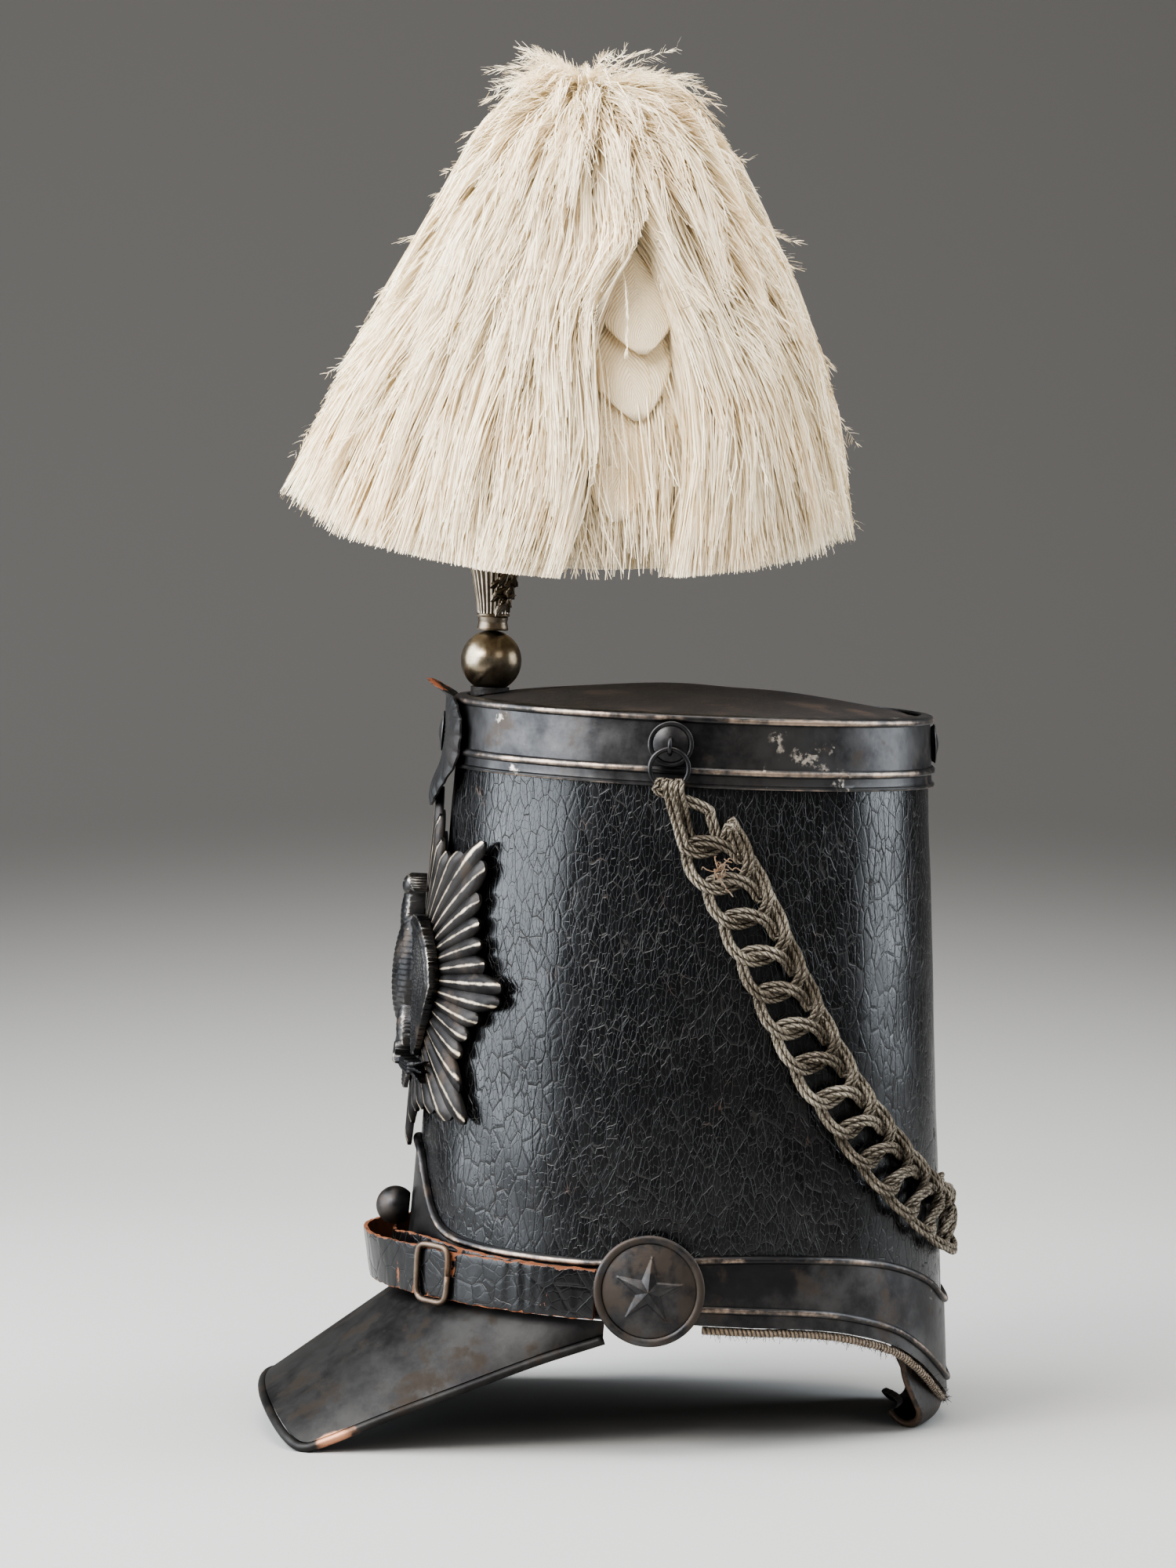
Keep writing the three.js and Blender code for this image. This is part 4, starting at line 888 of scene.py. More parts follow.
FOOT_EDGE: Rows = (
    (0, 0), (90, 0), (104, 0.017), (117, 0.04), (128, 0.107), (142, 0.28), (152, 0.5), (162, 0.76),
    (171, 0.94), (180, 1), (189, 0.94),
)
FRONT_PEAK: Rows = (
    (-6, 0.98), (0, 1), (6, 0.98), (12, 0.9), (19, 0.56), (24, 0.29), (31, 0.1), (45, 0.02), (60, 0),
)
REAR_DROP: Rows = (
    (70, 0), (103, -0.21), (123, -0.18), (136, -0.07), (146, 0.12), (158, 0.46), (168, 0.84), (180, 1),
    (192, 0.84),
)


def turn_degrees(angle: float) -> float:
    """Gives an angle's distance from the front in degrees."""
    turned = (angle + math.pi) % FULL_TURN - math.pi
    return abs(math.degrees(turned))


@dataclass(frozen=True)
class HatShell:
    """The lacquered tube, its leather lid and the two metal bands round it."""

    sheet: float = 1.1
    bead: float = 1.5
    flange: float = 0.9
    top_band_height: float = 26.5
    low_bead_up: float = 6.0
    side_height: float = 21.5
    front_peak: float = 54.0
    rear_top: float = 2.5
    rear_foot: float = -34.5
    lid_dome: float = 8.0
    lid_sheet: float = 2.0
    lid_hem: float = 0.48
    waves: float = 0.55
    wave_ease: float = 12.0
    around: int = 256

    @property
    def band_face(self) -> float:
        """How far the band's outer face stands out of the wall."""
        return GAP + self.sheet

    @property
    def bead_clear(self) -> float:
        """How far a fitting stands out of the wall to clear the beads."""
        return self.band_face + self.bead + GAP

    def foot_edge(self, angle: float) -> float:
        """Gives the height of the lower edge, which drops behind."""
        return self.rear_foot * read_table(FOOT_EDGE, turn_degrees(angle))

    def band_top(self, angle: float) -> float:
        """Gives the height of the base band's upper edge, which peaks in front."""
        turn = turn_degrees(angle)
        peak = (self.front_peak - self.side_height) * read_table(FRONT_PEAK, turn)
        return self.side_height + peak - (self.side_height - self.rear_top) * read_table(REAR_DROP, turn)

    def crown_body(self) -> bpy.types.Object:
        """Makes the tube with its wall and its slightly waved outer face."""
        wall_top = CROWN.height - self.lid_sheet - GAP
        outer_share, rim_share = 0.62, 0.66

        def place(across: float, along: float) -> Vector:
            angle = across * FULL_TURN
            low = self.foot_edge(angle) + 0.5
            if along <= outer_share:
                share = along / outer_share
                up = mix(low, wall_top, share)
                over_base = smooth((up - self.band_top(angle)) / self.wave_ease)
                under_top = smooth((wall_top - self.top_band_height + 0.5 - up) / self.wave_ease)
                wave = self.waves * min(over_base, under_top) * wander(CROWN.on(angle, up), 26, 3.1)
                return CROWN.on(angle, up, wave)
            if along <= rim_share:
                inward = (along - outer_share) / (rim_share - outer_share)
                return CROWN.on(angle, wall_top, -CROWN.wall * inward)
            share = (1 - along) / (1 - rim_share)
            return CROWN.on(angle, mix(low, wall_top, share), -CROWN.wall * (1 if share > 0 else 0))

        return grid_piece("crown_shell", self.around, 88, place, crease=60)

    def lid(self) -> bpy.types.Object:
        """Makes the domed leather disc with its sunk hem and a few sags."""
        half = 30

        def place(across: float, along: float) -> Vector:
            angle = across * FULL_TURN
            step = along * 2 * half
            share = min(1.0, (step if step <= half else 2 * half - step) / half)
            over = step > half
            edge = CROWN.on(angle, CROWN.height)
            middle = Vector((0, -CROWN.top_forward, CROWN.height))
            point = middle.lerp(edge, share)
            sag = 0.7 * wander(point, 30, 8.0) * (1 - share) * 2
            point.z += self.lid_dome * (1 - share * share) + (sag if over else sag - self.lid_sheet)
            if over:
                hem = smooth((share - 0.9) / 0.02) * (1 - smooth((share - 0.975) / 0.02))
                point.z -= self.lid_hem * hem
            return point

        def wear(_: float, along: float) -> float:
            return smooth((2 - 2 * along - 0.9) / 0.08) * 0.45 if along > 0.5 else 0.0

        return grid_piece("crown_lid", self.around, 2 * half, place, wear, crease=50)

    def bead_arc(self, up: float) -> list[tuple[float, float, float]]:
        """Gives a rolled bead's profile as distance out, height and wear."""
        rows = []
        for i in range(7):
            turn = math.radians(mix(-90, 90, i / 6))
            round_out = math.cos(turn)
            rows.append((self.band_face + self.bead * round_out, up + self.bead * math.sin(turn), round_out))
        return rows

    def bands(self) -> list[bpy.types.Object]:
        """Makes the top band and the base band with their rolled beads."""
        top = CROWN.height + self.bead
        foot = top - self.top_band_height
        lip = CROWN.height + GAP + 0.3
        face, edge = self.band_face, self.band_face + self.flange
        upper = [
            (GAP, foot, 0), (edge - 0.2, foot, 0.6), (edge, foot + 0.2, 0.9), (edge, foot + self.sheet, 0.5),
            (face + 0.1, foot + self.sheet + 0.5, 0), (face, foot + 2.6, 0), (face, foot + 3.6, 0),
            *self.bead_arc(foot + self.low_bead_up),
            (face, foot + self.low_bead_up + 2.4, 0), (face, foot + 12, 0), (face, foot + 18, 0),
            (face, CROWN.height - self.bead * 1.2 - 0.8, 0),
            *self.bead_arc(CROWN.height - self.bead * 0.2),
            (-1.8, top, 0.3), (-2, lip + 0.2, 0.2), (-1.6, lip, 0), (GAP, lip, 0), (GAP, foot, 0),
        ]
        marks = [
            (GAP, 0, 0), (face, 0, 0.7), (face, 1.2, 0.2), (face, 3.2, 0),
            *self.bead_arc(self.low_bead_up),
            (face, 8.6, 0), (face, 0, 0), (face, 0, 0), (face, 100 - 2 * self.bead - 1.2, 0),
            *self.bead_arc(100 - self.bead), (GAP, 100, 0.2), (GAP, 50, 0), (GAP, 0, 0),
        ]
        return [
            self.wrapped_band("top_band_fine", upper, self.top_band_point),
            self.wrapped_band("base_band_fine", marks, self.base_band_point),
        ]

    def top_band_point(self, angle: float, row: tuple[float, float, float], _: int) -> Vector:
        """Places a point of the top band, with small dents in its face."""
        out, up = row[:2]
        dent = 0.16 * wander(CROWN.on(angle, up), 17, 5.0) if out > 0.8 else 0.0
        return CROWN.on(angle, up, out + dent)

    def base_band_point(self, angle: float, row: tuple[float, float, float], index: int) -> Vector:
        """Places a point of the base band, whose edges rise and drop round the hat."""
        out, mark = row[:2]
        foot, top = self.foot_edge(angle), self.band_top(angle)
        share = read_table(((40, 0.5), (100, 1.0)), turn_degrees(angle))
        low, high = foot + 8.6 * share, top - 2 * self.bead - 1.2
        if mark > 90:
            up = top - (100 - mark)
        elif index in (12, 13, 14) and out > 0.8:
            up = mix(low, high, (index - 11) / 4)
        elif mark == 50:
            up = (foot + top) / 2
        else:
            up = foot + mark * share
        dent = 0.2 * wander(CROWN.on(angle, up), 16, 9.0) if out > 0.8 else 0.0
        return CROWN.on(angle, up, out + dent)

    def wrapped_band(
        self, name: str, rows: Sequence[tuple[float, float, float]],
        point: Callable[[float, tuple[float, float, float], int], Vector],
    ) -> bpy.types.Object:
        """Turns a profile round the crown; its last row is its first."""
        last = len(rows) - 1
        return grid_piece(
            name, self.around, last,
            lambda across, along: point(across * FULL_TURN, rows[round(along * last)], round(along * last)),
            lambda across, along: rows[round(along * last)][2], crease=50,
        )

    def build(self, groups: Groups) -> None:
        """Makes and dresses the shell's pieces."""
        show(self.crown_body(), Finish.CROWN.material(groups), "lacquered_leather", "crown_body")
        show(self.lid(), Finish.LID.material(groups), "worn_leather", "crown_top")
        upper, lower = self.bands()
        show(upper, Finish.BAND.material(groups), "tarnished_silver", "top_band")
        show(lower, Finish.BAND.material(groups), "tarnished_silver", "base_band")


SHELL = HatShell()

VISOR_EDGE = (
    (0, 1, 0.775), (0.36, 0.985, 0.8), (0.7, 0.94, 0.88), (0.9, 0.895, 0.95), (0.985, 0.85, 0.99),
    (1, 0.79, 0.94), (1.025, 0.6, 0.72), (1.05, 0.4, 0.5), (1.062, 0.2, 0.285), (1.064, 0, 0.1),
)


@dataclass(frozen=True)
class Visor:
    """The metal-faced peak with its rolled rim."""

    half_width: float = 75.0
    reach: float = 52.0
    corner_drop: float = 51.0
    sheet: float = 2.0
    rim: float = 1.7
    root_degrees: float = 74.5
    columns: int = 144
    rows: int = 26
    corner_at: float = 0.56

    def edge(self) -> list[Vector]:
        """Gives the outer edge from the right root to the left one."""
        root_up = -GAP - 0.2
        root_end = CROWN.on(math.radians(self.root_degrees), root_up, SHELL.band_face)
        front = -CROWN.foot_depth - self.reach
        half = [
            Vector((across * self.half_width, mix(root_end.y, front, ahead), root_up - drop * self.corner_drop))
            for across, ahead, drop in VISOR_EDGE
        ]
        mirrored = [Vector((-point.x, point.y, point.z)) for point in reversed(half[1:])]
        return spline([*mirrored, *half], self.columns + 1)

    def point(self, edge: Sequence[Vector], across: float, along: float, depth: float) -> Vector:
        """Gives a point of the peak's sheet.

        Args:
            edge: The outer edge's points.
            across: The place from the right root, -1, to the left one, 1.
            along: The share from the band to the edge.
            depth: How deep in the sheet.

        Returns:
            The point on the upright hat.
        """
        angle = across * math.radians(self.root_degrees)
        root = CROWN.on(angle, -GAP - 0.2, SHELL.band_face - SHELL.sheet / 2)
        out = edge[round((across + 1) / 2 * self.columns)]
        outward = Vector((math.sin(angle) * 0.75, -math.cos(angle) * 0.75, 1)).normalized()
        wave = 0.35 * wander(out * 0.5 + root * 0.5, 30, 2.0) * math.sin(math.pi * along)
        return root.lerp(out, along) + outward * (wave - depth)

    def build(self, groups: Groups) -> None:
        """Makes and dresses the peak and its rim."""
        edge = self.edge()

        def place(across: float, along: float) -> Vector:
            share, depth, _ = section_walk(along, self.rows)
            return self.point(edge, across * 2 - 1, share, depth * self.sheet)

        def wear(across: float, along: float) -> float:
            share, _, row = section_walk(along, self.rows)
            near = smooth((share - 0.9) / 0.1) if row <= self.rows else 0.0
            return near * (0.25 + 0.75 * self.near_corner(across, 0.1))

        sheet = grid_piece("visor_sheet", self.columns, 2 * self.rows + 4, place, wear, crease=50)
        show(sheet, Finish.VISOR.material(groups), "visor_metal", "visor")
        centres, normals = [], []
        for i in range(self.columns + 1):
            here, before, after = (
                clamp(k / self.columns) * 2 - 1 for k in (i, max(0, i - 1), min(self.columns, i + 1))
            )
            through = self.point(edge, here, 1, 0) - self.point(edge, here, 1, self.sheet)
            run = self.point(edge, after, 1, 0) - self.point(edge, before, 1, 0)
            outward = -through.cross(run).normalized()
            centres.append(self.point(edge, here, 1, self.sheet / 2) + outward * (self.rim + GAP - 0.1))
            normals.append(outward)

        def rim_wear(_: float, along: float) -> float:
            return 0.3 + 0.9 * self.near_corner(along, 0.09)

        rim = tube_work(centres, normals, 14, round_outline(self.rim), rim_wear)
        show(as_object(rim, "visor_rim_fine"), Finish.VISOR.material(groups), "tarnished_silver", "visor_rim")

    def near_corner(self, across: float, reach: float) -> float:
        """Tells how near a place is to one of the front corners, which the hat stands on."""
        return 1 - smooth(abs(abs(across * 2 - 1) - self.corner_at) / reach)


STRAP_STAND: Rows = ((0, 1), (12, 0.86), (24, 0.42), (34, 0.16), (50, 0.05), (75, 0))
UNDER_RISE: Rows = ((5, 0), (20, 1), (34, 0.8), (50, 0.2), (75, 0))


@dataclass(frozen=True)
class ChinStrap:
    """Two crackled leather layers across the front and the wire buckle on them."""

    width: float = 18.5
    thickness: float = 1.8
    stand_off: float = 8.0
    flare: float = 4.0
    foot: float = 0.3
    end_degrees: float = 73.0
    under_thickness: float = 1.4
    under_rise: float = 2.6
    under_from: float = -30.0
    buckle_width: float = 17.0
    buckle_height: float = 23.0
    wire: float = 1.15
    buckle_degrees: float = 34.0
    squareness: float = 0.42

    def stand(self, angle: float) -> float:
        """Gives how much of the stand-off the strap has at a turn."""
        return read_table(STRAP_STAND, turn_degrees(angle))

    def over_out(self, angle: float) -> float:
        """Gives how far out the outer layer lies."""
        return SHELL.bead_clear + self.under_thickness + GAP + self.stand_off * self.stand(angle)

    def under_out(self, angle: float) -> float:
        """Gives how far out the inner layer lies."""
        return SHELL.bead_clear + self.stand_off * self.stand(angle) * 0.35

    def layer(
        self, name: str, degrees: tuple[float, float], rise: float, lie: Callable[[float], float],
        thickness: float, flare: float,
    ) -> bpy.types.Object:
        """Makes one layer with creases, a ragged edge and rounded corners.

        Args:
            name: The piece's name.
            degrees: The turns of its two ends.
            rise: How far it lifts above the other layer.
            lie: Gives how far out it lies at a turn.
            thickness: The leather's thickness.
            flare: How far its upper edge leans out in front.

        Returns:
            The piece.
        """
        columns, half = 260, 14

        def place(across: float, along: float) -> Vector:
            height, inward, row = section_walk(along, half)
            depth = 1 - inward
            angle = math.radians(mix(*degrees, across))
            stand = self.stand(angle)
            lift = rise * read_table(UNDER_RISE, turn_degrees(angle))
            arc = CROWN.on(angle, 10.0)
            ragged = 0.45 * wander(arc, 2.3, 4.0) + 0.5 * wander(arc, 9.0, 6.0)
            up = self.foot + 0.2 + height * (self.width - 0.6) + lift + ragged * (height - 0.5) * 1.4
            crease = 0.32 * wander(Vector((arc.x, arc.y, up * 0.12)), 2.6, 1.0)
            sag = 0.5 * wander(Vector((arc.x, arc.y, up * 0.3)), 12.0, 7.0) * stand
            bulge = 0.12 if 0 < row < half else 0.0
            out = lie(angle) + flare * height * stand + depth * (thickness - 0.4)
            return CROWN.on(angle, up, out + bulge + max(0.0, crease + sag + 0.1))

        def wear(across: float, along: float) -> float:
            height, _, row = section_walk(along, half)
            if row > half:
                return 1.0
            edge = max(smooth((height - 0.86) / 0.14), smooth((0.08 - height) / 0.08))
            angle = math.radians(mix(*degrees, across))
            arc = CROWN.on(angle, 10.0)
            crack = smooth((wander(Vector((arc.x, arc.y, 3 * height)), 4.4, 21.0) - 0.42) / 0.12)
            return max(edge, 0.92 * crack)

        return grid_piece(name, columns, 2 * half + 4, place, wear, crease=50)

    def buckle(self) -> bpy.types.Object:
        """Makes the rounded wire frame that lies on the strap."""
        start = math.radians(self.buckle_degrees)
        middle_up = self.foot + self.width / 2
        centres, normals = [], []
        steps = 96
        for i in range(steps + 1):
            turn = i / steps * FULL_TURN
            cos, sin = math.cos(turn), math.sin(turn)
            across = (self.buckle_width / 2 - self.wire) * math.copysign(abs(cos) ** self.squareness, cos)
            above = (self.buckle_height / 2 - self.wire) * math.copysign(abs(sin) ** self.squareness, sin)
            angle = CROWN.angle_at_arc(across, 0, start)
            height = clamp((middle_up + above - self.foot) / self.width)
            flare = self.flare * height * self.stand(angle)
            out = self.over_out(angle) + self.thickness + GAP + self.wire + flare
            centres.append(CROWN.on(angle, middle_up + above, out))
            normals.append(CROWN.normal(angle, 10))
        work = tube_work(centres, normals, 12, round_outline(self.wire), lambda across, along: 0.5)
        return as_object(work, "buckle_wire")

    def build(self, groups: Groups) -> None:
        """Makes and dresses the strap and its buckle."""
        leather = Finish.STRAP.material(groups)
        outer = self.layer(
            "strap_outer_leather", (-self.end_degrees, self.end_degrees), 0, self.over_out,
            self.thickness, self.flare,
        )
        inner = self.layer(
            "strap_inner_leather", (self.under_from, self.end_degrees), self.under_rise, self.under_out,
            self.under_thickness, 0,
        )
        show(outer, leather, "lacquered_leather", "strap_outer")
        show(inner, leather, "lacquered_leather", "strap_inner")
        show(self.buckle(), Finish.BUCKLE.material(groups), "old_silver", "buckle")


@dataclass(frozen=True)
class Fittings:
    """The starred rosettes, the bosses with their rings and the ball button."""

    side_degrees: float = 84.0
    rosette_radius: float = 20.2
    rosette_up: float = 12.3
    rosette_thick: float = 3.2
    rosette_dome: float = 2.6
    rosette_bead: float = 1.5
    rosette_clear: float = 1.3
    star_radius: float = 13.2
    star_notch: float = 0.36
    star_rise: float = 1.5
    star_tilt: float = 0.07
    boss_radius: float = 8.3
    rear_radius: float = 7.4
    cockade_radius: float = 7.6
    boss_thick: float = 1.4
    boss_dome: float = 1.6
    boss_bead: float = 0.75
    from_top: float = 9.6
    eye_radius: float = 2.9
    eye_wire: float = 0.75
    eye_below: float = 0.6
    ring_radius: float = 7.0
    ring_wire: float = 0.9
    ball_radius: float = 7.3
    ball_up: float = 26.5
    ball_stand: float = 5.2

    @property
    def boss_up(self) -> float:
        """The bosses' height on the crown."""
        return CROWN.height - self.from_top

    @property
    def ring_lie(self) -> float:
        """How far off the boss's seat the ring lies."""
        return self.boss_thick * 0.8 + self.boss_dome + self.ring_wire + GAP

    @property
    def ring_up(self) -> float:
        """The height of the ring's middle."""
        drop = self.eye_below + self.eye_radius - self.eye_wire - self.ring_wire - GAP / 2
        return self.boss_up - drop - self.ring_radius

    def dome_profile(self, radius: float, thick: float, dome: float, bead: float) -> list[tuple[float, float]]:
        """Gives a domed disc's profile with its rolled rim, from the back's middle to the face's."""
        face, inner = thick * 0.8, radius - 2 * bead
        rows = [(0.0, 0.0), (radius - bead * 1.2, 0.0)]
        for i in range(9):
            turn = math.radians(mix(-70, 200, i / 8))
            roll_up = thick * 0.55 + bead * 0.54 * (1 + math.sin(turn))
            rows.append((radius - bead + bead * math.cos(turn), roll_up))
        rows.append((inner - 0.1, face - 0.15))
        for i in range(15):
            share = 1 - i / 14
            rows.append((inner * 0.97 * share, face + dome * (1 - share**1.9)))
        return rows

    def star_height(self, radius: float, turn: float) -> float:
        """Gives the raised star's height: five ridged arms with one standing upright."""
        sector = FULL_TURN / 5
        from_tip = abs((turn + sector / 2) % sector - sector / 2)
        tip, notch = self.star_radius, self.star_radius * self.star_notch
        notch_across, notch_along = notch * math.sin(sector / 2), notch * math.cos(sector / 2)
        across, along = math.sin(from_tip), math.cos(from_tip)
        reach = tip * notch_across / (notch_across * along + (tip - notch_along) * across)
        share = radius / max(reach, 1e-6)
        if share >= 1:
            return 0.0
        return 0.4 * smooth((1 - share) / 0.12) + self.star_rise * (1 - share)

    def rosette(self, side: int, name: str) -> bpy.types.Object:
        """Makes one starred rosette; the side is 1 for the left."""
        profile = self.dome_profile(
            self.rosette_radius, self.rosette_thick, self.rosette_dome, self.rosette_bead
        )
        fine = [profile[0]]
        for start, end in zip(profile, profile[1:]):
            count = 6 if end[0] < self.star_radius + 2 and start[1] > 1 else 1
            for k in range(1, count + 1):
                fine.append((mix(start[0], end[0], k / count), mix(start[1], end[1], k / count)))
        last = len(fine) - 1
        sector = FULL_TURN / 5

        def relief(radius: float, turn: float) -> float:
            return self.star_height(radius, turn - self.star_tilt) if radius <= self.star_radius else 0.0

        def wear(across: float, along: float) -> float:
            radius, height = fine[round(along * last)]
            if height < 1:
                return 0.0
            rim = smooth((radius - self.rosette_radius + 4) / 2)
            turn = across * FULL_TURN - self.star_tilt
            off = abs((turn + sector / 2) % sector - sector / 2) * radius
            ridge = (1 - smooth(off / 0.9)) * (radius < self.star_radius)
            return max(0.35 * rim, ridge)

        angle = side * math.radians(self.side_degrees)
        placement = CROWN.fitting(angle, self.rosette_up, SHELL.bead_clear + self.rosette_clear)
        return as_object(turned_work(fine, 180, placement, relief, wear), name, crease=42)

    def boss(self, radius: float, placement: Matrix) -> bmesh.types.BMesh:
        """Makes one domed boss."""
        profile = self.dome_profile(radius, self.boss_thick, self.boss_dome, self.boss_bead)
        return turned_work(profile, 72, placement, wear=lambda across, along: 0.55 if along > 0.3 else 0.0)

    def wire_ring(self, radius: float, wire: float, placement: Matrix) -> bmesh.types.BMesh:
        """Makes a closed wire ring in the placement's own plane."""

        def place(across: float, along: float) -> Vector:
            turn, round_turn = along * FULL_TURN, across * FULL_TURN
            reach, up = radius + wire * math.cos(round_turn), wire * math.sin(round_turn)
            return placement @ Vector((reach * math.sin(turn), reach * math.cos(turn), up))

        return grid_work(12, 72, place, lambda _, along: 0.7)

    def side_fittings(self, side: int, name: str, groups: Groups) -> None:
        """Makes and dresses one side's boss, eye and ring."""
        angle = side * math.radians(self.side_degrees)
        seat = CROWN.fitting(angle, self.boss_up, SHELL.bead_clear)
        band = Finish.BAND.material(groups)
        upright = Matrix.Rotation(math.pi / 2, 4, "Y")
        eye_seat = seat @ Matrix.Translation((0, -self.eye_below, self.ring_lie)) @ upright
        eye = self.wire_ring(self.eye_radius, self.eye_wire, eye_seat)
        boss = join_work([self.boss(self.boss_radius, seat), eye])
        show(as_object(boss, f"side_boss_{name}_fine", 45), band, "tarnished_silver", f"side_boss_{name}")
        ring_seat = seat @ Matrix.Translation((0, self.ring_up - self.boss_up, self.ring_lie))
        ring = self.wire_ring(self.ring_radius, self.ring_wire, ring_seat)
        show(as_object(ring, f"ring_{name}_fine"), band, "tarnished_silver", f"ring_{name}")
        rosette = self.rosette(side, f"rosette_{name}_fine")
        show(rosette, Finish.ROSETTE.material(groups), "tarnished_silver", f"rosette_{name}")

    def ball(self) -> bpy.types.Object:
        """Makes the ball button with its short foot."""
        cut = -math.asin(self.ball_stand / self.ball_radius)
        profile = [(0.0, -self.ball_stand)]
        for i in range(30):
            turn = mix(cut, math.pi / 2, i / 29)
            profile.append((self.ball_radius * math.cos(turn), self.ball_radius * math.sin(turn)))
        out = SHELL.band_face + 2 * GAP + self.ball_stand
        work = turned_work(profile, 64, CROWN.fitting(0, self.ball_up, out))
        return as_object(work, "ball_button_fine", crease=60)

    def build(self, groups: Groups) -> None:
        """Makes and dresses every fitting."""
        self.side_fittings(1, "left", groups)
        self.side_fittings(-1, "right", groups)
        band = Finish.BAND.material(groups)
        rear = CROWN.fitting(math.pi, self.boss_up, SHELL.band_face + GAP)
        boss = as_object(self.boss(self.rear_radius, rear), "rear_boss_fine", 45)
        show(boss, band, "tarnished_silver", "rear_boss")
        show(self.ball(), Finish.ROSETTE.material(groups), "tarnished_silver", "ball_button")


FITTINGS = Fittings()

PLATE_OUTLINE: Rows = (
    (0, 1.21), (9, 1.04), (22, 0.88), (34, 0.98), (42, 1.2), (48, 1.12), (56, 0.98), (68, 0.91), (80, 0.93),
    (90, 1.08), (98, 0.94), (110, 0.86), (122, 0.91), (132, 1.17), (138, 1.06), (148, 0.9), (160, 0.83),
    (172, 0.92), (180, 1.06), (188, 0.92),
)
WING_ROOTS = (
    (0.14, 0.24), (0.27, 0.27), (0.42, 0.27), (0.56, 0.25), (0.68, 0.21), (0.8, 0.15), (0.88, 0.08),
    (0.92, 0.0),
)
WING_TIPS = (
    (0.16, -0.12), (0.25, -0.17), (0.33, -0.22), (0.41, -0.26), (0.48, -0.295), (0.54, -0.32), (0.59, -0.325),
    (0.64, -0.3),
)


